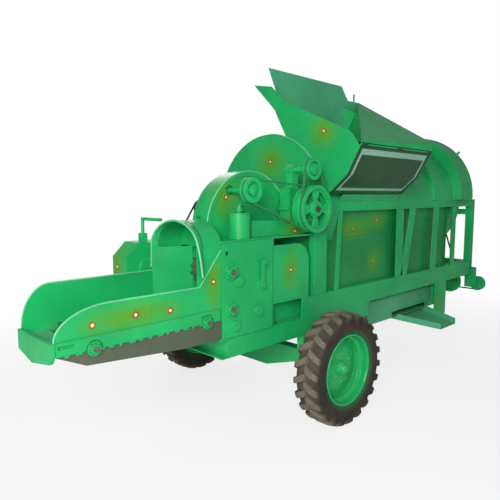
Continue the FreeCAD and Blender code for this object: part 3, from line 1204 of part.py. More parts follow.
def bearings():
    """Every fixed shaft bearing, one solid each."""
    ahead, aside = V(1, 0, 0), V(0, 1, 0)
    blocks = [
        flange_bearing(-aside, V(DRIVE_X, -HOUSING_NEAR, SHAFT_Z), CROSS_SHAFT_R, 3 * BAR_T),
        flange_bearing(aside, V(DRIVE_X, HOUSING_FAR, SHAFT_Z), CROSS_SHAFT_R, 2 * BAR_T),
        flange_bearing(-ahead, V(FACE_X, 0, SHAFT_Z), MAIN_SHAFT_R, 3 * BAR_T),
        flange_bearing(ahead, V(SCROLL_X + SCROLL_L, 0, SHAFT_Z), MAIN_SHAFT_R, 3 * BAR_T),
        pillow_block(ahead, V(AXLE_X + CORNER_X, 0, SHAFT_Z), MAIN_SHAFT_R, CORNER_W,
                     SHAFT_Z - 2 * MAIN_SHAFT_R),
        flange_bearing(aside, V(CHOP_X, CHOPPER_WALL_FAR + PLATE, CHOP_Z), CHOPPER_SHAFT_R, 3 * BAR_T),
        flange_bearing(ahead, V(AXLE_X + MAIN_REAR + CROSS_W + PLATE, -JACK_Y, JACK_Z), JACK_SHAFT_R,
                       3 * BAR_T),
        hanging_block(SCROLL_X + CROSS_W / 2, MAIN_Z + CHANNEL_T),
        hanging_block(AXLE_X + MAIN_REAR, MAIN_Z),
        pillow_block(aside, V(GEAR_X, TABLE_NARROW - GEAR_BLOCK_IN, GEAR_Z), P1_SHAFT_R, CROSS_W / 2,
                     TABLE_TOP),
        pillow_block(aside, V(COUNTER_X, -HOUSING_NEAR + HOUSING_WALL, COUNTER_Z), COUNTER_SHAFT_R, CROSS_W,
                     SHAFT_Z + HOUSING_HIGH)]
    for z in (ROLLER_Z, LOW_ROLLER_Z):
        blocks.append(flange_bearing(-aside, V(AXLE_X + ROLLER_X, -RAIL_Y - PLATE, z), ROLLER_SHAFT_R,
                                     3 * BAR_T))
    for x in (CONV_REAR_X, CONV_FRONT_X):
        blocks.append(flange_bearing(-aside, V(AXLE_X + x, -TROUGH_NEAR, CONV_LINE_Z), CONV_SHAFT_R,
                                     3 * BAR_T))
    blocks.append(flange_bearing(aside, V(AXLE_X + CONV_FRONT_X, -TROUGH_FAR, CONV_LINE_Z), CONV_SHAFT_R,
                                 2 * BAR_T))
    save("bearings", blocks)


def drive_belts():
    belts = [belt_y((DRIVE_X, SHAFT_Z), BIG_PULLEY_R, (COUNTER_X, COUNTER_Z), COUNTER_R, -BIG_PULLEY_Y),
             belt_y((DRIVE_X, SHAFT_Z), BIG_PULLEY_R, (PINION_X, PINION_Z), P1_R, -BIG_PULLEY_Y + PULLEY_W),
             belt_y((DRIVE_X, SHAFT_Z), FAR_DRIVE_R, (CHOP_X, CHOP_Z), CHOPPER_FAR_R, FAR_BELT_Y),
             belt_x((0, SHAFT_Z), REAR_PULLEY_R, (-ECC_Y, JACK_Z), ECC_DRIVE_R, AXLE_X + REAR_PULLEY_X),
             belt_x((-ECC_Y, JACK_Z), JACK_R, (-JACK_Y, JACK_Z), JACK_R, AXLE_X + JACK_X)]
    save("drive_belts", belts)


def drive_chains():
    upper = (AXLE_X + ROLLER_X, ROLLER_Z)
    lower = (AXLE_X + ROLLER_X, LOW_ROLLER_Z)
    conveyor = (AXLE_X + CONV_REAR_X, CONV_LINE_Z)
    half = DRIVE_CHAIN_W / 2

    def chain(a, ra, b, rb, y):
        return loop_band(a, ra + SEAT, b, rb + SEAT, DRIVE_CHAIN_T, lambda u, v: V(u, y - half, v),
                         V(0, DRIVE_CHAIN_W, 0))

    low_r = CHAIN_R_SHARE * SPROCKET_R
    save("drive_chains", [chain((GEAR_X, GEAR_Z), SPROCKET_R, upper, SPROCKET_R, CHAIN_Y),
                          chain(lower, SPROCKET_R, conveyor, low_r, CHAIN_Y + CHAIN_STEP)])


# Rear drive of the sieve

def sprocket(x, z, y, r):
    return rod_y(x, y - SPROCKET_W / 2, y + SPROCKET_W / 2, z, r)


def rear_drive():
    mid = AXLE_X + JACK_X
    bore = JACK_SHAFT_R - CUT_OVER
    plate_x = AXLE_X + MAIN_REAR + CROSS_W
    end = AXLE_X + REAR_OVERHANG
    shaft = rod_x(plate_x + SIDE_PLAY, end - SIDE_PLAY, -JACK_Y, JACK_Z, JACK_SHAFT_R)
    pulley = turned_x(solid_pulley_profile(mid, JACK_R, PULLEY_W, bore), -JACK_Y, JACK_Z)
    save("jack_pulley", [shaft.fuse(pulley).removeSplitter()])
    start = AXLE_X + SIEVE_X1 + ECC_REACH
    ecc = rod_x(start, end - SIDE_PLAY, -ECC_Y, JACK_Z, ECC_SHAFT_R)
    disc = rod_x(start, start + HANGER_T, -ECC_Y, JACK_Z + SIEVE_STROKE, ECC_DISC_R)
    drive = turned_x(pulley_profile(AXLE_X + REAR_PULLEY_X, ECC_DRIVE_R, PULLEY_W, ECC_SHAFT_R - CUT_OVER,
                                    2 * ECC_SHAFT_R, PULLEY_W), -ECC_Y, JACK_Z)
    second = turned_x(solid_pulley_profile(mid, JACK_R, PULLEY_W, ECC_SHAFT_R - CUT_OVER), -ECC_Y, JACK_Z)
    save("eccentric_shaft", [ecc.fuse([disc, drive, second]).removeSplitter()])


# Sieve box and its hangers

def sieve_box():
    x0, x1 = AXLE_X + SIEVE_X0, AXLE_X + SIEVE_X1
    wall = SIEVE_WALL
    outer = box(x0, x1, -SIEVE_HALF, SIEVE_HALF, SIEVE_Z0, SIEVE_Z1)
    hollow = box(x0 + wall, x1 - wall, -SIEVE_HALF + wall, SIEVE_HALF - wall, SIEVE_Z0 + wall,
                 SIEVE_Z1 + CUT_OVER)
    outlet = box(AXLE_X + CHUTE_X0, AXLE_X + CHUTE_X1, -SIEVE_HALF - CUT_OVER, -SIEVE_HALF + 2 * wall,
                 SIEVE_Z0 + wall, SIEVE_Z0 + CHUTE_WALL)
    rib_z = SIEVE_Z1 - LEDGE_W
    box_shell = outer.cut([hollow, outlet])
    level = SIEVE_Z0 + SIEVE_LEVEL
    count = int((SIEVE_X1 - SIEVE_X0) / WIRE_GAP)
    wires = []
    for i in range(1, count):
        x = x0 + (x1 - x0) * i / count
        wires.append(rod_y(x, -SIEVE_HALF + wall / 2, SIEVE_HALF - wall / 2, level, WIRE_R))
    rails = both_sides([box(x0 + wall, x1 - wall, SIEVE_HALF - 2 * wall, SIEVE_HALF - wall,
                            level - 2 * WIRE_R, level + 2 * WIRE_R)])
    ears = []
    for x in HANGER_XS:
        ear_x = AXLE_X + x + HANGER_T / 2 + SIDE_PLAY
        ear = box(ear_x, ear_x + BAR_T, SIEVE_HALF, HANGER_Y + HANGER_W / 2, HANGER_LOW_Z - HANGER_W / 2,
                  HANGER_LOW_Z + HANGER_W / 2)
        pin = rod_x(ear_x - HANGER_T - 2 * SIDE_PLAY, ear_x, HANGER_Y, HANGER_LOW_Z, HANGER_PIN_R)
        ears.append(ear.fuse(pin))
    flange = both_sides([box(x0, x1, SIEVE_HALF, SIEVE_HALF + BAR_T, rib_z - BAR_T, rib_z)])
    rod_x0 = x1 + ECC_REACH
    ring_r = ECC_DISC_R + 2 * SIEVE_STROKE + SIDE_PLAY
    ring = rod_x(rod_x0, rod_x0 + HANGER_T, -ECC_Y, JACK_Z, ring_r + BAR_T)
    arm = box(rod_x0, rod_x0 + HANGER_T, -ECC_Y + ring_r, -ECC_Y + ROD_L, JACK_Z - BAR_T, JACK_Z + BAR_T)
    horn = box(x1, rod_x0 + HANGER_T, -ECC_Y + ROD_L - HANGER_W, -ECC_Y + ROD_L, JACK_Z - HANGER_W,
               JACK_Z + HANGER_W)
    ring = ring.fuse([arm, horn]).cut(
        rod_x(rod_x0 - CUT_OVER, rod_x0 + HANGER_T + CUT_OVER, -ECC_Y, JACK_Z, ring_r))
    lip_y, back_y = -CHUTE_OUT, -CHUTE_Y
    low = SIEVE_Z0 - SHEET / 2
    lip_z = low - CHUTE_DROP
    tray_points = [V(AXLE_X + CHUTE_X0, back_y, low), V(AXLE_X + CHUTE_X1, back_y, low),
                   V(AXLE_X + CHUTE_LIP_X1, lip_y, lip_z), V(AXLE_X + CHUTE_LIP_X0, lip_y, lip_z)]
    tray = sheet(tray_points, V(0, 0, SHEET))
    for a, b in ((0, 3), (1, 2)):
        p, q = tray_points[a], tray_points[b]
        tray = tray.fuse(sheet([p, q, q + V(0, 0, CHUTE_WALL), p + V(0, 0, CHUTE_WALL)], V(SHEET, 0, 0)))
    tray = tray.cut(box(x0, x1, -SIEVE_HALF, SIEVE_HALF, SIEVE_Z0, SIEVE_Z1))
    body = box_shell.fuse(wires + rails + both_sides(ears) + flange + [ring, tray])
    save("sieve_box", [body])


def hangers():
    straps = []
    for x in HANGER_XS:
        x0 = AXLE_X + x - HANGER_T / 2
        x1 = x0 + HANGER_T
        strap = box(x0, x1, HANGER_Y - HANGER_W / 2, HANGER_Y + HANGER_W / 2, HANGER_LOW_Z, HANGER_TOP_Z)
        ends = [rod_x(x0, x1, HANGER_Y, z, HANGER_W / 2) for z in (HANGER_LOW_Z, HANGER_TOP_Z)]
        top_hole = rod_x(x0 - CUT_OVER, x1 + CUT_OVER, HANGER_Y, HANGER_TOP_Z, HANGER_PIN_R + RUN)
        low_hole = rod_x(x0 - CUT_OVER, x1 + CUT_OVER, HANGER_Y, HANGER_LOW_Z, HANGER_PIN_R + HANGER_SLACK)
        straps.append(strap.fuse(ends).cut([top_hole, low_hole]).removeSplitter())
    save("far_hangers", straps)
    save("near_hangers", [mirrored(strap) for strap in straps])


# Chopping cylinder and its housing

def chopper():
    wall_in = CHOPPER_WALL_NEAR - PLATE
    shaft = rod_y(CHOP_X, -CHOPPER_WALL_NEAR - CHOPPER_STUB, FAR_BELT_Y + PULLEY_W / 2, CHOP_Z,
                  CHOPPER_SHAFT_R)
    wheel = turned_y(pulley_profile(FAR_BELT_Y, CHOPPER_FAR_R, PULLEY_W, CHOPPER_SHAFT_R - BAR_T,
                                    2 * CHOPPER_SHAFT_R, PULLEY_W), CHOP_X, CHOP_Z)
    y0, y1 = -wall_in + CHOPPER_GAP, CHOPPER_WALL_FAR - CHOPPER_GAP
    core_r = 0.55 * CHOPPER_R
    core = rod_y(CHOP_X, y0, y1, CHOP_Z, core_r).cut(
        rod_y(CHOP_X, y0 + CHOPPER_WALL, y1 - CHOPPER_WALL, CHOP_Z, core_r - CHOPPER_WALL))
    knives = []
    for i in range(CHOPPER_KNIVES):
        knife = box(CHOP_X - KNIFE_T / 2, CHOP_X + KNIFE_T / 2, y0, y1, CHOP_Z + 0.5 * CHOPPER_R,
                    CHOP_Z + CHOPPER_R)
        edge = box(CHOP_X, CHOP_X + KNIFE_RISE, y0, y1, CHOP_Z + CHOPPER_R - KNIFE_T,
                   CHOP_Z + CHOPPER_R - SHEET)
        knife = knife.fuse(edge.common(rod_y(CHOP_X, y0, y1, CHOP_Z, CHOPPER_R)))
        knife.rotate(V(CHOP_X, 0, CHOP_Z), V(0, 1, 0), 360.0 * i / CHOPPER_KNIVES)
        knives.append(knife)
    save("chopper_cylinder", [shaft.fuse([wheel, core] + knives).removeSplitter()])


def arc_band(x, z, r, thickness, start, end):
    """Outline points of a curved sheet about a centre, angles in degrees."""
    return arc_points(x, z, r + thickness, start, end, 18) + arc_points(x, z, r, end, start, 18)


def chopper_housing():
    """Side walls, curved shrouds and the chute to the drum, with the guard sheet at the near side."""
    x0, x1 = AXLE_X + THROAT_REAR + SIDE_PLAY, FACE_X
    top = CHOP_Z + CHOPPER_R + 2 * CHOPPER_GAP + SHEET
    walls = []
    for y in (-CHOPPER_WALL_NEAR, CHOPPER_WALL_FAR):
        wall = box(x0, x1, y, y + PLATE, HEAD_Z, top)
        walls.append(wall.cut(rod_y(CHOP_X, y - CUT_OVER, y + PLATE + CUT_OVER, CHOP_Z,
                                    CHOPPER_SHAFT_R + (SIDE_PLAY if y > 0 else RUN))))
    y0, y1 = -CHOPPER_WALL_NEAR + PLATE, CHOPPER_WALL_FAR
    r = CHOPPER_R + CHOPPER_GAP
    upper = plate_xz(arc_band(CHOP_X, CHOP_Z, r, SHEET, 45, 150), y0, y1)
    lower = plate_xz(arc_band(CHOP_X, CHOP_Z, r, SHEET, 215, 345), y0, y1)
    slant = (r + SHEET / 2) * math.sin(math.radians(45))
    roof_z = DECK_Z + INLET_LOW + INLET_H
    roof = plate_xz([(CHOP_X + slant, CHOP_Z + slant), (x1, roof_z), (x1, roof_z + SHEET),
                     (CHOP_X + slant, CHOP_Z + slant + SHEET)], y0, y1)
    end_x = CHOP_X + (r + SHEET / 2) * math.cos(math.radians(18))
    end_z = CHOP_Z - (r + SHEET / 2) * math.sin(math.radians(18))
    floor = plate_xz([(end_x, end_z), (x1, DECK_Z + INLET_LOW - SHEET), (x1, DECK_Z + INLET_LOW),
                      (end_x, end_z + SHEET)], y0, y1)
    shell = upper.fuse([lower, roof, floor] + walls)
    far = box(CHOP_X - CHOPPER_R, AXLE_X + GUARD_REAR, y1, y1 + PLATE, top, TABLE_Z)
    gx0, gx1 = AXLE_X + GUARD_FRONT - POST_T, AXLE_X + GUARD_REAR - POST_T / 2
    z0, z1 = HEAD_Z + GUARD_LOW, HEAD_Z + GUARD_TOP
    drop = GUARD_DROP_SHARE * (z1 - z0)
    guard_points = [(gx0, z0), (gx1, z0), (gx1, z1 - drop)]
    guard_points += arc_points(gx1 - drop, z1 - drop, drop, 0, 90, 6)[1:] + [(gx0, z1)]
    guard = plate_xz(guard_points, -RAIL_Y, -RAIL_Y + SHEET)
    arms = [box(x, x + BAR_T, -RAIL_Y + SHEET, -CHOPPER_WALL_NEAR, z0 + KNIFE_RISE, z0 + 2 * KNIFE_RISE)
            for x in (AXLE_X + THROAT_REAR + KNIFE_RISE, gx1 - 2 * KNIFE_RISE)]
    save("chopper_housing", [shell.fuse([far] + arms).removeSplitter(), guard])


# Feed head and table

def feed_deck():
    x0 = AXLE_X + HEAD_FRONT
    step_x = AXLE_X - MAIN_FRONT - SEAT
    outline = [(x0, -RAIL_Y), (step_x, -RAIL_Y), (step_x, -FLANGE_Y), (FACE_X, -FLANGE_Y),
               (FACE_X, FLANGE_Y), (step_x, FLANGE_Y), (step_x, RAIL_Y), (x0, RAIL_Y)]
    save("feed_deck", [plate_xy(outline, MAIN_Z, HEAD_Z)])


def feed_head():
    """The near head plate with its bosses, the plates beside the throat and the funnel plate."""
    x0, x1 = AXLE_X + HEAD_FRONT, AXLE_X + HEAD_REAR
    plate = box(x0, x1, -RAIL_Y - PLATE, -RAIL_Y, HEAD_Z, TABLE_Z)
    roller_x = AXLE_X + ROLLER_X
    holes = [rod_y(roller_x, -RAIL_Y - PLATE - CUT_OVER, -RAIL_Y + CUT_OVER, z, ROLLER_SHAFT_R + SIDE_PLAY)
             for z in (ROLLER_Z, LOW_ROLLER_Z)]
    window = box(x0 + LEVER_W, x0 + 2 * LEVER_W, -RAIL_Y - PLATE - CUT_OVER, -RAIL_Y + CUT_OVER,
                 TABLE_Z - 3 * LEVER_W, TABLE_Z - 2 * LEVER_W)
    width, height = x1 - x0, TABLE_Z - HEAD_Z
    for across, up in BOSS_SHARES:
        plate = plate.fuse(rod_y(x0 + across * width, -RAIL_Y - PLATE - BOSS_H, -RAIL_Y - PLATE,
                                 HEAD_Z + up * height, BOSS_R))
    lever_x, lever_z = x0 + LEVER_SHARES[0] * width, HEAD_Z + LEVER_SHARES[1] * height
    pin_y = -RAIL_Y - PLATE - BOSS_H
    pin = rod_y(lever_x, pin_y - BAR_T - SIDE_PLAY - BAR_T, pin_y, lever_z, LEVER_PIN_R)
    head = rod_y(lever_x, pin_y - 2 * BAR_T - 2 * SIDE_PLAY, pin_y - BAR_T - 2 * SIDE_PLAY, lever_z,
                 1.6 * LEVER_PIN_R)
    save("gear_head_plate", [plate.cut(holes + [window]).fuse([pin, head]).removeSplitter()])
    lever_y1 = pin_y - SIDE_PLAY
    arm = box(lever_x - LEVER_W / 2, lever_x + LEVER_W / 2, lever_y1 - BAR_T, lever_y1, lever_z,
              lever_z + LEVER_L)
    ends = [rod_y(lever_x, lever_y1 - BAR_T, lever_y1, lever_z, LEVER_W / 2 + LEVER_PIN_R / 2),
            rod_y(lever_x, lever_y1 - 4 * BAR_T, lever_y1, lever_z + LEVER_L, 0.6 * LEVER_W)]
    lever = arm.fuse(ends).cut(rod_y(lever_x, lever_y1 - LEVER_L, lever_y1 + CUT_OVER, lever_z,
                                     LEVER_PIN_R + RUN))
    save("shift_lever", [lever.removeSplitter()])
    sides = []
    for y in (-THROAT_NEAR, -THROAT_FAR):
        side = box(x0, AXLE_X + THROAT_REAR, y, y + PLATE, HEAD_Z, TABLE_Z)
        sides.append(side.cut([rod_y(roller_x, y - CUT_OVER, y + PLATE + CUT_OVER, z, ROLLER_SHAFT_R + RUN)
                               for z in (ROLLER_Z, LOW_ROLLER_Z)]))
    funnel_x = AXLE_X + FUNNEL_X
    funnel = plate_xy([(funnel_x, -TROUGH_FAR - SHEET), (x0 - SHEET, -THROAT_FAR),
                       (x0, -THROAT_FAR + SHEET), (funnel_x + SHEET, -TROUGH_FAR - SHEET)],
                      CONV_LINE_Z + CONV_R + CHAIN_T + 2 * SLAT_H, TABLE_Z - COVER_RIM - SEAT)
    save("throat_plates", sides + [funnel])


def feed_rollers():
    """Two ribbed rollers geared together on the far side of the throat."""
    x = AXLE_X + ROLLER_X
    y0, y1 = -THROAT_NEAR + PLATE + SIDE_PLAY, -THROAT_FAR - SIDE_PLAY
    gear_y = -TROUGH_FAR + PLATE
    near = -RAIL_Y - PLATE - 3 * BAR_T - CUT_OVER
    phase = math.pi / 2
    low_phase = meshing_phase(phase, ROLLER_TEETH, -phase, ROLLER_TEETH)
    for name, z, turn, chain_y in (("upper_feed_roller", ROLLER_Z, phase, CHAIN_Y),
                                   ("lower_feed_roller", LOW_ROLLER_Z, low_phase, CHAIN_Y + CHAIN_STEP)):
        drum = plate_xz(toothed(x, z, ROLLER_RIBS, ROLLER_R, ROLLER_R + RIB_H, RIB_FOOT_SHARE,
                                RIB_TOP_SHARE, math.pi / ROLLER_RIBS), y0, y1)
        shaft = rod_y(x, near, chain_y + SPROCKET_W, z, ROLLER_SHAFT_R)
        save(name, [drum.fuse([shaft, gear(x, z, gear_y, GEAR_W, ROLLER_TEETH, GEAR_MODULE, turn),
                               sprocket(x, z, chain_y, SPROCKET_R)]).removeSplitter()])


def front_table():
    """The plate above the feed head, narrower beside the trough."""
    x0, x1 = AXLE_X + HEAD_FRONT, AXLE_X + WIDE_POST_X
    wide_x = AXLE_X + TABLE_WIDE_X
    far = CHOPPER_WALL_FAR + PLATE + SHEET
    outline = [(x0, -RAIL_Y), (x1, -RAIL_Y), (x1, far), (wide_x, far), (wide_x, TABLE_NARROW),
               (x0, TABLE_NARROW)]
    save("front_table", [plate_xy(outline, TABLE_Z, TABLE_TOP)])


def pressure_unit():
    """Spring can, its rod and nut, and the long bar behind them, in front of the bevel housing."""
    x = AXLE_X + CAN_X
    can = rod_z(x, -CAN_Y, TABLE_TOP, TABLE_TOP + CAN_H, CAN_R)
    rim = rod_z(x, -CAN_Y, TABLE_TOP + CAN_H - BAR_T, TABLE_TOP + CAN_H, CAN_R + SHEET)
    rod = rod_z(x, -CAN_Y, TABLE_TOP + CAN_H, TABLE_TOP + CAN_H + CAN_ROD_H, CAN_ROD_R)
    nut_z = TABLE_TOP + CAN_H + BAR_T
    nut = plate_xy(arc_points(x, -CAN_Y, 2 * CAN_ROD_R, 0, 300, 5), nut_z, nut_z + CAN_ROD_H / 2)
    bar_x0, bar_x1 = x + CAN_R + 2 * SHEET, AXLE_X + PRESSURE_BAR_END
    bar_y = -HOUSING_NEAR - SIDE_PLAY
    rear_h = PRESSURE_BAR_SHARE * PRESSURE_BAR_H
    bar = plate_xz([(bar_x0, TABLE_TOP), (bar_x1, TABLE_TOP), (bar_x1, TABLE_TOP + rear_h),
                    (bar_x0, TABLE_TOP + PRESSURE_BAR_H)], bar_y - PRESSURE_BAR_W / 2, bar_y)
    save("pressure_unit", [can.fuse([rim, rod, nut]).removeSplitter(), bar])


# Reduction drive

def reduction():
    """Half-round cover, the plates that carry the two shafts, the pinion shaft and the large gear."""
    cx, cz = AXLE_X + COVER_X, TABLE_TOP + COVER_LIFT
    near, far = -COVER_NEAR, -COVER_NEAR + COVER_W
    below = grown(cx - COVER_R, cx + COVER_R, near - COVER_RIM, far + COVER_RIM, cz - 2 * COVER_R, TABLE_TOP)
    outer = rod_y(cx, near, far, cz, COVER_R).cut(below)
    inner = rod_y(cx, near + SHEET, far - SHEET, cz, COVER_R - SHEET)
    rim = rod_y(cx, near - SHEET, near, cz, COVER_R).cut(
        [rod_y(cx, near - 2 * SHEET, near + SHEET, cz, COVER_R - COVER_RIM), below])
    holes = [rod_y(x, near - 2 * SHEET, far + 2 * SHEET, z, 2 * P1_SHAFT_R)
             for x, z in ((PINION_X, PINION_Z), (GEAR_X, GEAR_Z))]
    cover = outer.cut(inner).fuse(rim).cut(holes).removeSplitter()
    strap = box(cx - COVER_R + BAR_T, cx - COVER_R + BAR_T + BRACE_W / 2, near - 2 * SHEET, near - SHEET,
                TABLE_TOP, cz + COVER_RIM)
    bolt = rod_y(cx - COVER_R + BAR_T + BRACE_W / 4, near - 2 * SHEET - BOLT_HEAD_H, near - 2 * SHEET,
                 cz, 2 * BOLT_R)
    save("reduction_cover", [cover.fuse([strap, bolt]).removeSplitter()])
    mid_x = (PINION_X + GEAR_X) / 2
    plates = []
    for y in (-RED_FRAME_NEAR, -RED_FRAME_FAR):
        plate = box(mid_x - RED_FRAME_L / 2, mid_x + RED_FRAME_L / 2, y, y + PLATE, TABLE_TOP,
                    TABLE_TOP + RED_FRAME_H)
        bores = [rod_y(x, y - CUT_OVER, y + PLATE + CUT_OVER, z, P1_SHAFT_R + RUN)
                 for x, z in ((PINION_X, PINION_Z), (GEAR_X, GEAR_Z))]
        keep = rod_y(cx, y - CUT_OVER, y + PLATE + CUT_OVER, cz, COVER_R - 2 * SHEET)
        plates.append(plate.common(keep).cut(bores))
    save("reduction_frame", plates)
    gear_y = (-RED_FRAME_NEAR - RED_FRAME_FAR + PLATE - GEAR_W) / 2
    direction = math.atan2(GEAR_Z - PINION_Z, GEAR_X - PINION_X)
    pinion = gear(PINION_X, PINION_Z, gear_y, GEAR_W, PINION_TEETH, RED_MODULE, direction)
    pulley_y = -BIG_PULLEY_Y + PULLEY_W
    pinion_shaft = rod_y(PINION_X, pulley_y - PULLEY_W / 2 - BAR_T, -RED_FRAME_FAR + PLATE + CUT_OVER,
                         PINION_Z, P1_SHAFT_R)
    pulley = turned_y(pulley_profile(pulley_y, P1_R, PULLEY_W, P1_SHAFT_R - CUT_OVER, 2 * P1_SHAFT_R,
                                     PULLEY_W), PINION_X, PINION_Z)
    save("feed_countershaft", [pinion_shaft.fuse([pinion, pulley]).removeSplitter()])
    turn = meshing_phase(direction, PINION_TEETH, direction, RED_TEETH)
    large = gear(GEAR_X, GEAR_Z, gear_y, GEAR_W, RED_TEETH, RED_MODULE, turn)
    gear_shaft = rod_y(GEAR_X, -RED_FRAME_NEAR - CUT_OVER, CHAIN_Y + SPROCKET_W, GEAR_Z, P1_SHAFT_R)
    save("reduction_gear", [large.fuse([gear_shaft, sprocket(GEAR_X, GEAR_Z, CHAIN_Y, SPROCKET_R)])
                            .removeSplitter()])


# Trough, conveyor and hood

def near_wall_outline():
    low = HEAD_Z + STRIP_LOW
    x0 = AXLE_X - FRONT_OVERHANG + END_T
    flat = AXLE_X + WALL_FLAT_X0
    rise = WALL_RISE - STRIP_H
    corner = []
    for i in range(7):
        turn = math.pi / 2 * i / 6
        corner.append((flat - (flat - x0) * math.cos(turn), low + STRIP_H + rise * math.sin(turn)))
    rear = AXLE_X + HEAD_FRONT - SEAT
    return [(rear, low - BELLY_REAR_DROP), (AXLE_X + BELLY_REAR_X, low - BELLY_REAR_DROP),
            (AXLE_X + CONV_FRONT_X - CONV_R, low - BELLY_FRONT_DROP), (x0, low)] + corner + [
                (AXLE_X + WALL_FLAT_X1, low + WALL_RISE), (rear, low + DIAG_RISE)]


def far_wall_outline():
    low = HEAD_Z + STRIP_LOW
    x0 = AXLE_X - FRONT_OVERHANG + END_T
    flat = AXLE_X + FAR_FLAT_X0
    rise = FAR_RISE - STRIP_H
    corner = []
    for i in range(7):
        turn = math.pi / 2 * i / 6
        corner.append((flat - (flat - x0) * math.cos(turn), low + STRIP_H + rise * math.sin(turn)))
    rear = AXLE_X + HEAD_FRONT - SEAT
    return [(rear, low - BELLY_REAR_DROP), (AXLE_X + BELLY_REAR_X, low - BELLY_REAR_DROP),
            (AXLE_X + CONV_FRONT_X - CONV_R, low - BELLY_FRONT_DROP), (x0, low)] + corner + [
                (rear, low + FAR_RISE)]


def trough():
    low = HEAD_Z + STRIP_LOW
    x0 = AXLE_X - FRONT_OVERHANG
    rear = AXLE_X + HEAD_FRONT - SEAT
    shafts = [rod_y(AXLE_X + x, -TROUGH_NEAR - CUT_OVER, CUT_OVER, CONV_LINE_Z, CONV_SHAFT_R + SIDE_PLAY)
              for x in (CONV_REAR_X, CONV_FRONT_X)]
    near = plate_xz(near_wall_outline(), -TROUGH_NEAR, -TROUGH_NEAR + SHEET)
    strip = box(x0 + END_T, AXLE_X + STRIP_REAR, -TROUGH_NEAR - STRIP_T, -TROUGH_NEAR, low, low + STRIP_H)
    slots = [box(x, x + SLOT_L, -TROUGH_NEAR - STRIP_T - CUT_OVER, -TROUGH_NEAR, low + STRIP_H / 2,
                 low + STRIP_H / 2 + SLOT_H) for x in (x0 + END_T + SLOT_H, rear - 2 * SLOT_L)]
    rooms = [rod_y(AXLE_X + x, -TROUGH_NEAR - 2 * STRIP_T, -TROUGH_NEAR, CONV_LINE_Z, 3 * CONV_SHAFT_R)
             for x in (CONV_REAR_X, CONV_FRONT_X)]
    save("near_trough_wall", [near.cut(shafts).fuse(strip.cut(slots + rooms)).removeSplitter()])
    far = plate_xz(far_wall_outline(), -TROUGH_FAR - SHEET, -TROUGH_FAR)
    save("far_trough_wall", [far.cut(shafts)])
    span = TROUGH_NEAR - TROUGH_FAR
    notch = END_NOTCH_SHARE * span
    end = plate_yz([(-TROUGH_NEAR - END_OUT, low), (-TROUGH_NEAR + END_OUT, low - STRIP_H / 2),
                    (-TROUGH_NEAR + notch - END_OUT, low - BELLY_FRONT_DROP + SHEET),
                    (-TROUGH_FAR, low - STRIP_H / 2), (-TROUGH_FAR, low + STRIP_H),
                    (-TROUGH_NEAR - END_OUT, low + STRIP_H)], x0, x0 + END_T)
    hollow = plate_yz([(-TROUGH_NEAR + END_OUT, low), (-TROUGH_FAR - END_OUT, low),
                       (-TROUGH_FAR - END_OUT, low + STRIP_H - SHEET),
                       (-TROUGH_NEAR + END_OUT, low + STRIP_H - SHEET)], x0 + SHEET, x0 + END_T + CUT_OVER)
    save("trough_end_plate", [end.cut(hollow)])
    inner0, inner1 = -TROUGH_NEAR + SHEET, -TROUGH_FAR - SHEET
    top = CONV_LINE_Z + CONV_R - BED_DROP
    bed = box(AXLE_X + CONV_FRONT_X + CONV_R + SHEET, AXLE_X + CONV_REAR_X - CONV_R - SHEET, inner0, inner1,
              top - SHEET, top)
    lip_x = AXLE_X + CONV_FRONT_X - CONV_R - 3 * SLAT_H
    lip = box(x0 + END_T, lip_x, inner0, inner1, top - SHEET, top)
    save("trough_bed", [bed, lip])
    front = (AXLE_X + CONV_FRONT_X - CONV_R, low - BELLY_FRONT_DROP)
    back = (AXLE_X + BELLY_REAR_X, low - BELLY_REAR_DROP)
    belly = plate_xz([(x0 + END_T, low), front, back, (rear, back[1]), (rear, back[1] + SHEET),
                      (back[0], back[1] + SHEET), (front[0], front[1] + SHEET), (x0 + END_T, low + SHEET)],
                     inner0, inner1)
    save("belly_sheet", [belly])


def conveyor():
    """Both conveyor rollers, and the slatted chains that run round them."""
    inner0, inner1 = -TROUGH_NEAR + SHEET + SIDE_PLAY, -TROUGH_FAR - SHEET - SIDE_PLAY
    rear, front = AXLE_X + CONV_REAR_X, AXLE_X + CONV_FRONT_X
    near = -TROUGH_NEAR - 3 * BAR_T - CUT_OVER
    rollers = (("rear_conveyor_roller", rear, CHAIN_Y + CHAIN_STEP + SPROCKET_W),
               ("front_conveyor_roller", front, -TROUGH_FAR + 3 * BAR_T))
    for name, x, far in rollers:
        shaft = rod_y(x, near, far, CONV_LINE_Z, CONV_SHAFT_R)
        pieces = [shaft]
        if x == rear:
            pieces.append(sprocket(x, CONV_LINE_Z, CHAIN_Y + CHAIN_STEP, CHAIN_R_SHARE * SPROCKET_R))
        drum = rod_y(x, inner0, inner1, CONV_LINE_Z, CONV_R)
        save(name, [drum.fuse(pieces).removeSplitter()])
    a, b = (front, CONV_LINE_Z), (rear, CONV_LINE_Z)
    chains = []
    for y in (inner0 + CHAIN_WID, inner1 - 2 * CHAIN_WID):
        chains.append(loop_band(a, CONV_R + SEAT, b, CONV_R + SEAT, CHAIN_T, lambda u, v, y=y: V(u, y, v),
                                V(0, CHAIN_WID, 0)))
    top = CONV_LINE_Z + CONV_R + SEAT + CHAIN_T
    low = CONV_LINE_Z - CONV_R - SEAT - CHAIN_T
    count = int((rear - front) / SLAT_GAP)
    slats = []
    for i in range(count + 1):
        x = front + (rear - front) * i / count - SLAT_W / 2
        for z in (top - SIDE_PLAY, low - SLAT_H + SIDE_PLAY):
            slats.append(box(x, x + SLAT_W, inner0 + SHEET, inner1 - SHEET, z, z + SLAT_H))
    save("slat_chain", [chains[0].fuse(chains[1:] + slats)])


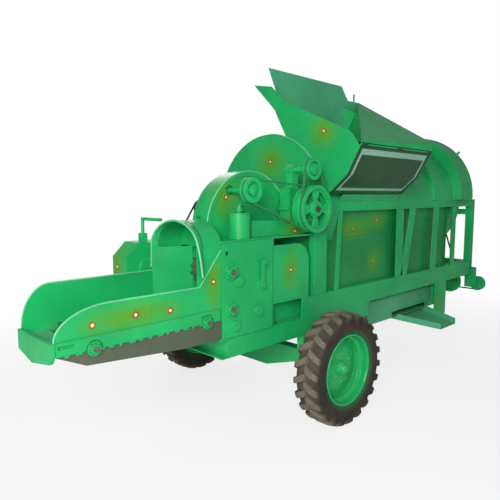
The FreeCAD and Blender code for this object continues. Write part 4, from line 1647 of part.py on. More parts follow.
def hood_section(inset):
    """The hood's arch across the trough: two legs and a half ellipse."""
    mid = -(TROUGH_NEAR + TROUGH_FAR) / 2
    half = (TROUGH_NEAR - TROUGH_FAR) / 2 - inset
    shoulder = HEAD_Z + HOOD_SHOULDER
    rise = HOOD_CROWN - HOOD_SHOULDER - inset
    curve = []
    for i in range(19):
        turn = math.pi * i / 18
        curve.append((mid - half * math.cos(turn), shoulder + rise * math.sin(turn)))
    foot = HEAD_Z + STRIP_LOW + WALL_RISE - inset * CUT_OVER
    return [(mid - half, foot)] + curve + [(mid + half, foot)]


def feed_hood():
    x0, x1 = AXLE_X + HOOD_FRONT, AXLE_X + HEAD_FRONT - SEAT
    shell = plate_yz(hood_section(0), x0, x1).cut(plate_yz(hood_section(SHEET), x0 - CUT_OVER, x1 - SHEET))
    mouth = [(-TROUGH_NEAR + SHEET, HEAD_Z), (-TROUGH_FAR - SHEET, HEAD_Z),
             (-TROUGH_FAR - SHEET, TABLE_Z - COVER_RIM), (-TROUGH_NEAR + SHEET, TABLE_Z - COVER_RIM)]
    shell = shell.cut([plate_yz(mouth, x1 - 2 * SHEET, x1 + CUT_OVER),
                       plate_xz(near_wall_outline(), -TROUGH_NEAR - CUT_OVER, -TROUGH_NEAR + 2 * SHEET),
                       plate_xz(far_wall_outline(), -TROUGH_FAR - 2 * SHEET, -TROUGH_FAR + CUT_OVER)])
    save("feed_hood", [shell.removeSplitter()])


def feed_gearbox():
    """The chain case on the far side, and the stop lever on top of it."""
    x0, x1 = AXLE_X + GEARBOX_X0, AXLE_X + GEARBOX_X1
    z0, z1 = HEAD_Z + GEARBOX_LOW, HEAD_Z + GEARBOX_HIGH
    cut = GEARBOX_CUT
    wall = GEARBOX_WALL

    def section(inset):
        return [(x0 + inset, z0 + inset), (x1 - inset, z0 + inset), (x1 - inset, z1 - inset),
                (x0 + cut + inset / 2, z1 - inset), (x0 + inset, z1 - cut - inset / 2)]

    case = plate_xz(section(0), GEARBOX_Y0, GEARBOX_Y1).cut(
        plate_xz(section(wall), GEARBOX_Y0 + wall, GEARBOX_Y1 - wall))
    roller_x = AXLE_X + ROLLER_X
    shafts = [rod_y(x, GEARBOX_Y0 - CUT_OVER, GEARBOX_Y0 + 2 * wall, z, r + SIDE_PLAY)
              for x, z, r in ((roller_x, ROLLER_Z, ROLLER_SHAFT_R), (roller_x, LOW_ROLLER_Z, ROLLER_SHAFT_R),
                              (AXLE_X + CONV_REAR_X, CONV_LINE_Z, CONV_SHAFT_R))]
    slot = box(x1 - SPROCKET_R, x1 + CUT_OVER, CHAIN_Y - DRIVE_CHAIN_W, CHAIN_Y + DRIVE_CHAIN_W,
               ROLLER_Z - SPROCKET_R, z1 + CUT_OVER)
    boss_x = (x0 + x1) / 2 - cut
    boss = rod_y(boss_x, GEARBOX_Y0 - BOSS_H, GEARBOX_Y0, (z0 + z1) / 2 + cut, 2 * BOSS_R)
    handle_x = AXLE_X + HANDLE_X
    handle_y = (GEARBOX_Y0 + GEARBOX_Y1) / 2
    pivot_z = z1 + 3 * HANDLE_R
    ears = []
    for y in (handle_y - HANDLE_R - SIDE_PLAY - BAR_T, handle_y + HANDLE_R + SIDE_PLAY):
        ears.append(box(handle_x + cut - 2 * HANDLE_R, handle_x + cut + 2 * HANDLE_R, y, y + BAR_T, z1,
                        pivot_z + 2 * HANDLE_R))
    reach = HANDLE_R + SIDE_PLAY + BAR_T
    pin = rod_y(handle_x + cut, handle_y - reach, handle_y + reach, pivot_z, LEVER_PIN_R)
    feet = [box(AXLE_X + HEAD_FRONT, x1, y, y + wall, HEAD_Z, z0) for y in (GEARBOX_Y0, GEARBOX_Y1 - wall)]
    save("feed_gearbox", [case.cut(shafts + [slot]).fuse(feet + ears + [boss, pin]).removeSplitter()])
    px = handle_x + cut
    hub = rod_y(px, handle_y - HANDLE_R, handle_y + HANDLE_R, pivot_z, LEVER_PIN_R + BAR_T)
    riser = rod_z(px, handle_y, pivot_z, pivot_z + HANDLE_RISE, HANDLE_R)
    corner = Part.makeSphere(HANDLE_R, V(px, handle_y, pivot_z + HANDLE_RISE))
    across = rod_y(px, handle_y - HANDLE_L, handle_y, pivot_z + HANDLE_RISE, HANDLE_R)
    lever = hub.fuse([riser, corner, across]).cut(
        rod_y(px, handle_y - 2 * HANDLE_R, handle_y + 2 * HANDLE_R, pivot_z, LEVER_PIN_R + RUN))
    save("stop_lever", [lever.removeSplitter()])


wheels()
chassis()
axle()
upper_frame()
brackets()
prop_stand()
front_plate()
casing()
scroll()
body_panels()
concave()
hopper()
banner_door()
rotor()
threshing_drum()
blower_fan()
drive_pieces()
bevel_housing()
bearings()
drive_belts()
drive_chains()
rear_drive()
sieve_box()
hangers()
chopper()
chopper_housing()
feed_deck()
feed_head()
feed_rollers()
front_table()
pressure_unit()
reduction()
trough()
conveyor()
feed_hood()
feed_gearbox()
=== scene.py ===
"""Looks of the threshing machine: enamel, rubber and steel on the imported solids, with the
tyres, rims, rolled edges, welds and fasteners that the solids leave out."""

import math

import bmesh
import bpy
import numpy as np
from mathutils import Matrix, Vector


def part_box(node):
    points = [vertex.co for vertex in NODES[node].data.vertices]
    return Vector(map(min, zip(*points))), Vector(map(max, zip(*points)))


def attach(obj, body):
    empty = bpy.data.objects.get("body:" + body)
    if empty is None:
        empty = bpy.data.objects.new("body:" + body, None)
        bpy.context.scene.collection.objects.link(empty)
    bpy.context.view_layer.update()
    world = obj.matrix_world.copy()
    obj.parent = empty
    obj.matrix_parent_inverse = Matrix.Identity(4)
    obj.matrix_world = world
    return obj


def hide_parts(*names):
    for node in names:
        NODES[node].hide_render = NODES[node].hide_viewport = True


bl_info = {
    "name": "Threshing Machine",
    "version": (1, 0, 0),
    "blender": (4, 5, 0),
    "location": "View3D > Sidebar > Thresher",
    "description": "Dresses the packed threshing machine with paint, rubber, steel and small parts",
    "category": "Object",
}

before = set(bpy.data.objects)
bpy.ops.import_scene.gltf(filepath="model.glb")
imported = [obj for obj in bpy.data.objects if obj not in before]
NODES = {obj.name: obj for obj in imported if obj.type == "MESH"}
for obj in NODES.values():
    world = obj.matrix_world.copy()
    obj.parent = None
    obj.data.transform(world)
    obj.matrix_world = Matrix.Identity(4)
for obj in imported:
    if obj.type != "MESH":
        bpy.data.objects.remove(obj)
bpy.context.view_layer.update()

# Radius and half width of the tyre's tread, radius of its seat on the rim, the wheel's nuts
# and the radius of their circle
TREAD_R = 0.373
TREAD_HALF = 0.1
BEAD_R = 0.2395
NUTS = 6
NUT_CIRCLE = 0.098
# Place of the casing's rear band, and height of the lower edge of the trough's side strip
BAND_X = 1.34
STRIP_LOW = 0.846


def box_sides(node):
    """Lowest and highest corner of a node's box, rounded to a tenth of a millimetre, because
    the facets of round pieces stand a little inside their true size."""
    return [[round(value, 4) for value in corner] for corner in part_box(node)]


# Places read from the solids
(TYRE_FRONT, TYRE_NEAR, GROUND), (TYRE_REAR, TYRE_INNER, TYRE_TOP) = box_sides("near_tyre")
AXLE = ((TYRE_FRONT + TYRE_REAR) / 2, (GROUND + TYRE_TOP) / 2)
WHEEL_Y = -(TYRE_NEAR + TYRE_INNER) / 2
TYRE_R = (TYRE_TOP - GROUND) / 2
HOOD_LOW, HOOD_HIGH = box_sides("feed_hood")
LIP_X = HOOD_LOW[0] - 0.004
WALL_LOW, WALL_HIGH = box_sides("near_trough_wall")
FAR_WALL_LOW, FAR_WALL_HIGH = box_sides("far_trough_wall")
END_PLATE_TOP = box_sides("trough_end_plate")[1][2]
COVER_LOW, COVER_HIGH = box_sides("reduction_cover")
PLATE_LOW, PLATE_HIGH = box_sides("casing_front_plate")
DOOR_LOW, DOOR_HIGH = box_sides("banner_door")
BAND_R = box_sides("casing_shell")[1][1]
BAND_Z = box_sides("casing_shell")[1][2] - BAND_R
BEAM_FACE, BEAM_TOP = box_sides("top_beams")[1][1:]
RAIL_TOP = box_sides("chassis_rails")[1][2]


# Mesh building

def merged(parts):
    """Several (points, quads) pairs as one pair."""
    points, quads, start = [], [], 0
    for p, q in parts:
        points.append(p)
        quads.append(q + start)
        start += len(p)
    return np.concatenate(points), np.concatenate(quads)


def grid_quads(rows, columns, wrap_rows=False, wrap_columns=False):
    """Corner numbers of the quads of a grid whose points are stored row by row."""
    r = np.arange(rows if wrap_rows else rows - 1)[:, None]
    c = np.arange(columns if wrap_columns else columns - 1)[None, :]
    r1, c1 = (r + 1) % rows, (c + 1) % columns
    corners = (r * columns + c, r * columns + c1, r1 * columns + c1, r1 * columns + c)
    return np.stack(np.broadcast_arrays(*corners), axis=-1).reshape(-1, 4)


def unit(v):
    """Vectors of length 1 along v: v divided by its length."""
    return v / np.linalg.norm(v, axis=-1, keepdims=True)


def lathe(profile, centre, steps):
    """A closed profile of (radius, place) points turned about the line along Y through centre:
    each point goes to centre + (radius cos t, place, radius sin t)."""
    profile = np.asarray(profile, float)
    t = np.linspace(0, 2 * math.pi, steps, endpoint=False)[:, None]
    r, s = profile[None, :, 0], profile[None, :, 1]
    points = np.stack([r * np.cos(t), s + 0 * t, r * np.sin(t)], axis=-1).reshape(-1, 3)
    return points + np.asarray(centre, float), grid_quads(steps, len(profile), True, True)


def rounded(profile, radius, cuts=4):
    """A closed profile with each corner replaced by a quadratic curve that starts and ends
    at most radius away from the corner, and never past a third of a side."""
    p = np.asarray(profile, float)
    before, after = np.roll(p, 1, axis=0) - p, np.roll(p, -1, axis=0) - p
    lb, la = np.linalg.norm(before, axis=1), np.linalg.norm(after, axis=1)
    cut = np.minimum(radius, np.minimum(lb, la) / 3)[:, None]
    start, end = p + before / lb[:, None] * cut, p + after / la[:, None] * cut
    t = np.linspace(0, 1, cuts)[None, :, None]
    curve = (1 - t) ** 2 * start[:, None] + 2 * t * (1 - t) * p[:, None] + t ** 2 * end[:, None]
    return curve.reshape(-1, p.shape[1])


def travelled(p):
    """Length from an open line's start to each of its points."""
    return np.concatenate([[0], np.cumsum(np.linalg.norm(np.diff(p, axis=0), axis=1))])


def resampled(points, count):
    """Points evenly spaced along an open line of straight runs: each coordinate is read off
    at equal steps of the length travelled."""
    p = np.asarray(points, float)
    length = travelled(p)
    s = np.linspace(0, length[-1], count)
    return np.stack([np.interp(s, length, column) for column in p.T], axis=-1)


def spread(points, spacing):
    """Points along an open line, as near to spacing apart as an even division allows."""
    p = np.asarray(points, float)
    return resampled(p, max(int(travelled(p)[-1] / spacing), 2) + 1)


def frames_along(path):
    """Unit side and up vectors of a path: side is its direction times a guide, and up is side
    times its direction. The guide is the first of Z, Y and X that the path doesn't follow."""
    ahead = unit(np.gradient(path, axis=0))
    followed = abs(ahead).max(axis=0)
    guide = 2 if followed[2] <= 0.9 else 1 if followed[1] < 0.9 else 0
    side = unit(np.cross(ahead, np.eye(3)[guide]))
    return side, unit(np.cross(side, ahead))


def tube(path, radius, sides, ripple=0.0, seed=0.0):
    """A round rod along a path, closed at both ends: point = path + r (cos t side + sin t up).
    A weld's ripple makes r the radius times 1 + ripple (sin(2.1 k + seed) + 0.6 sin(0.37 k +
    2 seed)) at the path's point k."""
    path = np.asarray(path, float)
    side, up = frames_along(path)
    k = np.arange(len(path))
    waves = np.sin(2.1 * k + seed) + 0.6 * np.sin(0.37 * k + 2 * seed)
    r = np.concatenate([[0], radius * (1 + ripple * waves), [0]])
    path, side, up = (np.concatenate([line[:1], line, line[-1:]]) for line in (path, side, up))
    t = np.linspace(0, 2 * math.pi, sides, endpoint=False)
    points = path[:, None] + r[:, None, None] * (
        np.cos(t)[None, :, None] * side[:, None] + np.sin(t)[None, :, None] * up[:, None])
    return points.reshape(-1, 3), grid_quads(len(path), sides, False, True)


def fastener(place, out, size, height):
    """A hexagon head of corner radius size on a washer at place, standing along out: rings of
    six corners at the radii and heights of washer, head and chamfer."""
    out = unit(np.asarray(out, float))
    side = unit(np.cross(out, [0.31, 0.23, 0.92]))
    up = np.cross(out, side)
    sunk, washer_r, chamfer_r = -0.002 * size, 1.35 * size, 0.86 * size
    washer_top, chamfer = 0.22 * height, 0.85 * height
    rings = ((0, sunk), (washer_r, sunk), (washer_r, washer_top), (size, washer_top),
             (size, chamfer), (chamfer_r, height), (0, height))
    t = np.linspace(0, 2 * math.pi, 6, endpoint=False)[:, None]
    points = [np.asarray(place) + out * h + r * (np.cos(t) * side + np.sin(t) * up)
              for r, h in rings]
    return np.concatenate(points), grid_quads(len(rings), 6, False, True)


def slab(outline, step, bevel):
    """A plate with softened edges: its outline at both faces, and drawn in by bevel at each
    face's rim, closed by a fan from its middle."""
    p = np.asarray(outline, float)
    step = np.asarray(step, float)
    middle = p.mean(axis=0)
    inward = unit(middle - p) * bevel
    lift = unit(step) * bevel
    rings = [middle + 0 * p, p + inward, p + lift,
             p + step - lift, p + step + inward, middle + step + 0 * p]
    return np.concatenate(rings), grid_quads(len(rings), len(p), False, True)


def weld(start, end, seed):
    """A rippled bead from start to end."""
    radius, spacing, sides, ripple = 0.004, 0.004, 7, 0.16
    return tube(spread((start, end), spacing), radius, sides, ripple, seed)


def placed(name, data):
    """A new object in the scene."""
    made = bpy.data.objects.new(name, data)
    bpy.context.scene.collection.objects.link(made)
    return made


def piece(name, mesh_parts, material, body="frame", replaces=(), smooth=38.0):
    """A finished piece: the parts' points and quads in one mesh, doubles merged, faces turned
    outwards, smooth below the given angle, riding on its body."""
    points, quads = merged(mesh_parts) if isinstance(mesh_parts, list) else mesh_parts
    mesh = bpy.data.meshes.new(name)
    mesh.vertices.add(len(points))
    mesh.vertices.foreach_set("co", points.astype(np.float32).ravel())
    mesh.loops.add(quads.size)
    mesh.loops.foreach_set("vertex_index", quads.astype(np.int32).ravel())
    mesh.polygons.add(len(quads))
    mesh.polygons.foreach_set("loop_start", np.arange(0, quads.size, 4, dtype=np.int32))
    mesh.update(calc_edges=True)
    mesh.validate()
    solid = bmesh.new()
    solid.from_mesh(mesh)
    bmesh.ops.remove_doubles(solid, verts=solid.verts, dist=0.00002)
    bmesh.ops.recalc_face_normals(solid, faces=solid.faces)
    solid.to_mesh(mesh)
    solid.free()
    mesh.shade_smooth()
    mesh.set_sharp_from_angle(angle=math.radians(smooth))
    made = placed(name, mesh)
    made.data.materials.append(material)
    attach(made, body)
    if replaces:
        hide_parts(*replaces)
    return made


# Node groups and materials

def linear(colour):
    """An sRGB colour in 0 to 255 as the linear values that Blender wants: c / 12.92 for dark
    values, ((c + 0.055) / 1.055) to the power 2.4 for the others."""
    c = np.asarray(colour, float) / 255
    dark = c <= 0.04045
    return tuple(np.where(dark, c / 12.92, ((c + 0.055) / 1.055) ** 2.4)) + (1.0,)


class Nodes:
    """Adds nodes to a tree and links them in one line each."""

    def __init__(self, tree):
        self.tree = tree

    def add(self, kind, settings=None, **inputs):
        """A node of a kind with its settings, and its inputs by their labels."""
        node = self.tree.nodes.new(kind)
        for key, value in (settings or {}).items():
            setattr(node, key, value)
        for key, value in inputs.items():
            self.put(node.inputs[key.replace("_", " ")], value)
        return node

    def put(self, socket, value):
        """Links another node's socket to this one, or sets it to a plain value."""
        if isinstance(value, bpy.types.NodeSocket):
            self.tree.links.new(value, socket)
        else:
            socket.default_value = value

    def math(self, operation, a, b=0.0, clamp=False):
        """One operation on two numbers."""
        node = self.add("ShaderNodeMath", {"operation": operation, "use_clamp": clamp})
        self.put(node.inputs[0], a)
        self.put(node.inputs[1], b)
        return node.outputs[0]

    def vector(self, operation, a, b=(0, 0, 0), scale=None):
        """One operation on two vectors."""
        node = self.add("ShaderNodeVectorMath", {"operation": operation})
        self.put(node.inputs[0], a)
        self.put(node.inputs[1], b)
        if scale is not None:
            self.put(node.inputs["Scale"], scale)
        return node.outputs["Value" if operation in ("LENGTH", "DOT_PRODUCT") else "Vector"]

    def noise(self, vector, scale, detail=3.0, rough=0.55):
        """Even noise of 0 to 1, with its middle near 0.5."""
        return self.add("ShaderNodeTexNoise", Vector=vector, Scale=scale, Detail=detail,
                        Roughness=rough).outputs["Fac"]

    def range(self, value, low, high, to_low=0.0, to_high=1.0):
        """A smooth step of value, from to_low at low to to_high at high."""
        return self.add("ShaderNodeMapRange", {"interpolation_type": "SMOOTHSTEP"}, Value=value,
                        From_Min=low, From_Max=high, To_Min=to_low, To_Max=to_high).outputs[0]

    def mix(self, factor, a, b):
        """Colour a, or b where the factor is 1."""
        node = self.add("ShaderNodeMix", {"data_type": "RGBA"})
        for place, value in ((0, factor), (6, a), (7, b)):
            self.put(node.inputs[place], value)
        return node.outputs[2]


def group(name, inputs, outputs):
    """A new shader node group with its sockets, and its input and output nodes."""
    tree = bpy.data.node_groups.new(name, "ShaderNodeTree")
    for label, kind, value in inputs:
        socket = tree.interface.new_socket(label, in_out="INPUT", socket_type="NodeSocket" + kind)
        socket.default_value = value
    for label, kind in outputs:
        tree.interface.new_socket(label, in_out="OUTPUT", socket_type="NodeSocket" + kind)
    nodes = Nodes(tree)
    return nodes, nodes.add("NodeGroupInput").outputs, nodes.add("NodeGroupOutput").inputs


def enamel_group():
    """Sprayed enamel: slow shifts of tone, paler edges that are a painted highlight along every
    edge broken up by noise, dust on what faces up and low down, and an orange peel height."""
    nodes, given, out = group(
        "Sprayed Enamel",
        [("Paint", "Color", (0.03, 0.4, 0.12, 1)), ("Edge", "Color", (0.1, 0.6, 0.25, 1)),
         ("Dust Colour", "Color", (0.3, 0.36, 0.25, 1)), ("Edge Wear", "Float", 0.5),
         ("Dust", "Float", 0.3)],
        [("Color", "Color"), ("Roughness", "Float"), ("Height", "Float"), ("Normal", "Vector")])
    where = nodes.add("ShaderNodeTexCoord").outputs
    slow = nodes.noise(where["Object"], 2.3, 4.0)
    fine = nodes.noise(where["Object"], 38.0, 4.0, 0.65)
    tone = nodes.range(slow, 0.3, 0.7, 0.86, 1.1)
    paint = nodes.vector("SCALE", given["Paint"], scale=tone)
    bevel = nodes.add("ShaderNodeBevel", {"samples": 4}, Radius=0.0035)
    real = nodes.add("ShaderNodeNewGeometry").outputs["True Normal"]
    # Paler edges: where the bevel's rounded normal turns away from the true normal, a painted highlight
    # along every edge, broken up by fine noise
    turn = nodes.math("SUBTRACT", 1.0, nodes.vector("DOT_PRODUCT", bevel.outputs[0], real), True)
    edge = nodes.math("MULTIPLY", nodes.range(turn, 0.02, 0.2), nodes.range(fine, 0.3, 0.6, 0.45, 1.0))
    paint = nodes.mix(nodes.math("MULTIPLY", edge, given["Edge Wear"]), paint, given["Edge"])
    split = nodes.add("ShaderNodeSeparateXYZ", Vector=where["Normal"])
    place = nodes.add("ShaderNodeSeparateXYZ", Vector=where["Object"])
    up = nodes.range(split.outputs["Z"], 0.1, 0.95)
    low = nodes.range(place.outputs["Z"], 0.9, 0.2, 0.0, 0.7)
    lie = nodes.math("ADD", up, low, True)
    patches = nodes.range(nodes.math("ADD", nodes.math("MULTIPLY", fine, 0.5),
                                     nodes.math("MULTIPLY", slow, 0.5)), 0.38, 0.62)
    dust = nodes.math("MULTIPLY", nodes.math("MULTIPLY", lie, patches), given["Dust"])
    nodes.put(out["Color"], nodes.mix(dust, paint, given["Dust Colour"]))
    rough = nodes.range(nodes.noise(where["Object"], 6.0, 3.0), 0.3, 0.7, 0.26, 0.42)
    nodes.put(out["Roughness"], nodes.math("ADD", rough, nodes.math("MULTIPLY", dust, 0.5), True))
    nodes.put(out["Height"], nodes.math("ADD", nodes.noise(where["Object"], 420.0, 2.0),
                                        nodes.math("MULTIPLY", slow, 1.5)))
    nodes.put(out["Normal"], bevel.outputs[0])
    return nodes.tree


def ornament_group():
    """A sprayed ornament at a place: the distance from it gives a pale dot, a ring round the
    dot and a soft fade that is longer along one direction."""
    nodes, given, out = group(
        "Sprayed Ornament",
        [("Color", "Color", (0, 0, 0, 1)), ("Place", "Vector", (0, 0, 0)),
         ("Stretch", "Vector", (1, 1, 1)), ("Dot", "Float", 0.012),
         ("Fade", "Float", 0.1), ("Strength", "Float", 0.8)],
        [("Color", "Color")])
    where = nodes.add("ShaderNodeTexCoord").outputs["Object"]
    apart = nodes.vector("SUBTRACT", where, given["Place"])
    near = nodes.vector("LENGTH", apart)
    far = nodes.vector("LENGTH", nodes.vector("MULTIPLY", apart, given["Stretch"]))
    ragged = nodes.math("MULTIPLY", nodes.math("SUBTRACT", nodes.noise(where, 9.0, 3.0), 0.5), 0.06)
    away = nodes.math("ADD", far, ragged)
    reach = nodes.math("MULTIPLY", given["Fade"], 1.6)
    fade = nodes.range(away, reach, nodes.math("MULTIPLY", reach, 0.12))
    colour = nodes.mix(nodes.math("MULTIPLY", fade, given["Strength"]), given["Color"],
                       linear((88, 156, 16)))
    heart = nodes.range(away, nodes.math("MULTIPLY", given["Fade"], 0.6), 0.0)
    faint = nodes.math("MULTIPLY", given["Strength"], 0.3)
    colour = nodes.mix(nodes.math("MULTIPLY", heart, faint), colour, linear((120, 120, 20)))
    soft = nodes.math("MULTIPLY", given["Dot"], 0.25)
    for radius, paint in ((nodes.math("MULTIPLY", given["Dot"], 1.9), (150, 45, 12)),
                          (given["Dot"], (250, 232, 190))):
        disc = nodes.range(near, nodes.math("ADD", radius, soft),
                           nodes.math("SUBTRACT", radius, soft))
        colour = nodes.mix(disc, colour, linear(paint))
    nodes.put(out["Color"], colour)
    return nodes.tree


def steel_group():
    """Bare steel: turned streaks, brown stains and dust."""
    nodes, given, out = group(
        "Worked Steel",
        [("Steel", "Color", (0.4, 0.39, 0.37, 1)), ("Stain", "Color", (0.16, 0.09, 0.05, 1)),
         ("Stains", "Float", 0.5)],
        [("Color", "Color"), ("Roughness", "Float"), ("Height", "Float")])
    where = nodes.add("ShaderNodeTexCoord").outputs["Object"]
    spots = nodes.range(nodes.noise(where, 24.0, 5.0, 0.65), 0.42, 0.62)
    streak = nodes.noise(nodes.vector("MULTIPLY", where, (30.0, 400.0, 400.0)), 1.0, 2.0)
    stain = nodes.math("MULTIPLY", spots, given["Stains"])
    nodes.put(out["Color"], nodes.mix(stain, given["Steel"], given["Stain"]))
    nodes.put(out["Roughness"], nodes.range(nodes.math("ADD", stain, nodes.math("MULTIPLY", streak, 0.3)),
                                            0.0, 1.0, 0.28, 0.8))
    nodes.put(out["Height"], nodes.math("ADD", streak, nodes.math("MULTIPLY", spots, 2.0)))
    return nodes.tree


def new_material(name, **constants):
    """A material with a Principled BSDF whose plain values are set on its own sockets."""
    material = bpy.data.materials.new(name)
    material.use_nodes = True
    nodes = Nodes(material.node_tree)
    shader = material.node_tree.nodes["Principled BSDF"]
    for key, value in constants.items():
        shader.inputs[key.replace("_", " ")].default_value = value
    return material, nodes, shader


def use_group(nodes, tree, **values):
    """A copy of a node group in a material, with its inputs by their labels."""
    return nodes.add("ShaderNodeGroup", {"node_tree": tree}, **values).outputs


def finish_surface(nodes, shader, colour, roughness, strength, distance, height, **normal):
    """Links colour and roughness to the shader, and height to it through a bump node."""
    nodes.put(shader.inputs["Base Color"], colour)
    nodes.put(shader.inputs["Roughness"], roughness)
    bump = nodes.add("ShaderNodeBump", Strength=strength, Distance=distance, Height=height, **normal)
    nodes.put(shader.inputs["Normal"], bump.outputs[0])


def paint_material(name, paint, edge, dust_colour, painted_edge_highlight, dust, ornaments=(), borders=None):
    """Enamel with its sprayed ornaments, and with the borders or dust that a function adds."""
    material, nodes, shader = new_material(name, Coat_Weight=0.12, Coat_Roughness=0.2,
                                           Specular_IOR_Level=0.4)
    # The edge colour and the strength after it give the painted highlight along the edges
    made = use_group(nodes, GROUPS["enamel"], Paint=linear(paint), Edge=linear(edge),
                     Dust_Colour=linear(dust_colour), Edge_Wear=painted_edge_highlight, Dust=dust)
    colour = made["Color"]
    for place, stretch, dot, fade, strength in ornaments:
        colour = use_group(nodes, GROUPS["ornament"], Color=colour, Place=place, Stretch=stretch,
                           Dot=dot, Fade=fade, Strength=strength)["Color"]
    if borders:
        colour = borders(nodes, colour)
    finish_surface(nodes, shader, colour, made["Roughness"], 0.12, 0.001, made["Height"],
                   Normal=made["Normal"])
    return material


def steel_material(name, steel, stain, stains, metallic):
    """Bare steel with stains."""
    material, nodes, shader = new_material(name, Metallic=metallic)
    made = use_group(nodes, GROUPS["steel"], Steel=linear(steel), Stain=linear(stain), Stains=stains)
    finish_surface(nodes, shader, made["Color"], made["Roughness"], 0.25, 0.0006, made["Height"])
    return material


def tyre_material():
    """Rubber: dusty lug tops by their distance from the axle, dark side walls and paint mist
    near the rim."""
    material, nodes, shader = new_material("tyre_rubber", Specular_IOR_Level=0.35)
    where = nodes.add("ShaderNodeTexCoord").outputs["Object"]
    across = nodes.vector("MULTIPLY", nodes.vector("SUBTRACT", where, (AXLE[0], 0, AXLE[1])), (1, 0, 1))
    r = nodes.vector("LENGTH", across)
    fine = nodes.noise(where, 60.0, 5.0, 0.7)
    slow = nodes.noise(where, 9.0, 4.0)
    rubber = nodes.mix(nodes.range(slow, 0.3, 0.7), linear((48, 42, 38)), linear((66, 57, 50)))
    dusty = nodes.mix(fine, linear((118, 112, 100)), linear((142, 134, 120)))
    top = nodes.math("MULTIPLY", nodes.range(r, TREAD_R - 0.007, TREAD_R + 0.017),
                     nodes.range(fine, 0.3, 0.6, 0.62, 1.0))
    colour = nodes.mix(nodes.math("MULTIPLY", top, 0.86), rubber, dusty)
    between = nodes.math("MULTIPLY", nodes.range(r, TREAD_R - 0.028, TREAD_R - 0.011),
                         nodes.range(slow, 0.35, 0.65, 0.2, 0.55))
    colour = nodes.mix(nodes.math("MULTIPLY", between, 0.6), colour, linear((96, 88, 76)))
    mist = nodes.range(nodes.math("ADD", r, nodes.math("MULTIPLY", slow, 0.04)), 0.315, 0.27)
    colour = nodes.mix(nodes.math("MULTIPLY", mist, 0.8), colour, linear((40, 108, 66)))
    finish_surface(nodes, shader, colour, nodes.range(fine, 0.3, 0.7, 0.62, 0.9), 0.35, 0.0015, fine)
    return material


def belt_material():
    """Belts: fabric lines along them, worn grey on the faces, with paint mist on the front ones."""
    material, nodes, shader = new_material("belt_rubber", Specular_IOR_Level=0.4)
    where = nodes.add("ShaderNodeTexCoord").outputs["Object"]
    grain = nodes.noise(nodes.vector("MULTIPLY", where, (40, 600, 40)), 1.0, 4.0)
    colour = nodes.mix(nodes.range(nodes.noise(where, 14.0, 4.0), 0.35, 0.65), linear((34, 34, 33)),
                       linear((72, 76, 68)))
    place = nodes.add("ShaderNodeSeparateXYZ", Vector=where).outputs
    sprayed = nodes.range(place["X"], 1.2, 0.9)
    green = nodes.mix(nodes.noise(where, 22.0, 4.0), linear((30, 112, 66)), linear((52, 150, 92)))
    colour = nodes.mix(nodes.math("MULTIPLY", sprayed, 0.9), colour, green)
    finish_surface(nodes, shader, colour, nodes.range(grain, 0.2, 0.8, 0.55, 0.85), 0.4, 0.0008, grain)
    return material


def banner_borders(nodes, colour):
    """The pale line inside the banner's dark edge: the least distance to the sides of the
    bare middle, where the line is wider along the top."""
    where = nodes.add("ShaderNodeTexCoord").outputs["Object"]
    place = nodes.add("ShaderNodeSeparateXYZ", Vector=where).outputs
    front = nodes.math("SUBTRACT", place["X"], DOOR_LOW[0] + 0.038)
    rear = nodes.math("SUBTRACT", DOOR_HIGH[0] - 0.04, place["X"])
    low = nodes.math("MULTIPLY", nodes.math("SUBTRACT", place["Z"], DOOR_LOW[2] + 0.0248), 1.3)
    high = nodes.math("SUBTRACT", DOOR_HIGH[2] - 0.035, place["Z"])
    inside = nodes.math("MINIMUM", nodes.math("MINIMUM", front, rear), nodes.math("MINIMUM", low, high))
    within = nodes.range(inside, 0.0, 0.003)
    sides = nodes.math("MULTIPLY", within, nodes.range(inside, 0.029, 0.025))
    top = nodes.math("MULTIPLY", within, nodes.range(high, 0.042, 0.038))
    return nodes.mix(nodes.math("MAXIMUM", sides, top), colour, linear((150, 196, 172)))


def dusty_below_strip(nodes, colour):
    """Bare dusty sheet on the trough wall where its height is under the side strip's."""
    place = nodes.add("ShaderNodeTexCoord").outputs["Object"]
    split = nodes.add("ShaderNodeSeparateXYZ", Vector=place).outputs
    low = nodes.range(split["Z"], STRIP_LOW, STRIP_LOW - 0.004)
    sheet = nodes.mix(nodes.noise(place, 5.0, 4.0), linear((70, 88, 70)), linear((96, 98, 82)))
    return nodes.mix(low, colour, sheet)


GROUPS = {}
MATERIALS = {}

# Each ornament: place, stretch of its fade, radius of its dot, reach and strength of its fade
ORNAMENTS = [
    ((-2.261, -0.562, 0.965), (1, 1, 1), 0.010, 0.06, 0.25),
    ((-2.018, -0.562, 0.976), (0.36, 1, 1.4), 0.010, 0.085, 0.8),
    ((-1.8, -0.562, 0.963), (1, 1, 1), 0.010, 0.06, 0.25),
    ((-1.487, -0.562, 1.085), (1.5, 1, 0.6), 0.009, 0.09, 0.75),
    ((-1.77, 0.055, 1.141), (1, 1.3, 0.6), 0.009, 0.085, 0.75),
    ((-1.243, -0.404, 1.583), (1, 1, 0.8), 0.009, 0.1, 0.7),
    ((-0.697, -0.512, 1.345), (1, 1, 1), 0.009, 0.1, 0.95),
    ((-0.792, -0.56, 1.085), (1.1, 1, 0.7), 0.009, 0.085, 0.7),
    ((-0.436, -0.024, 1.859), (1, 0.8, 1), 0.009, 0.12, 0.8),
    ((-0.435, -0.551, 2.055), (1, 1, 1), 0.009, 0.11, 0.8),
    ((-0.3, -0.509, 1.37), (1, 1, 1), 0.008, 0.07, 0.5),
    ((0.035, -0.509, 1.325), (0.45, 1, 1.2), 0.007, 0.09, 0.75),
    ((0.379, -0.509, 1.38), (0.6, 1, 1.2), 0.007, 0.08, 0.6),
    ((0.342, -0.509, 1.035), (1, 1, 1), 0.008, 0.08, 0.7),
    ((1.465, -0.59, 0.514), (1, 1, 1), 0.008, 0.09, 0.6)]


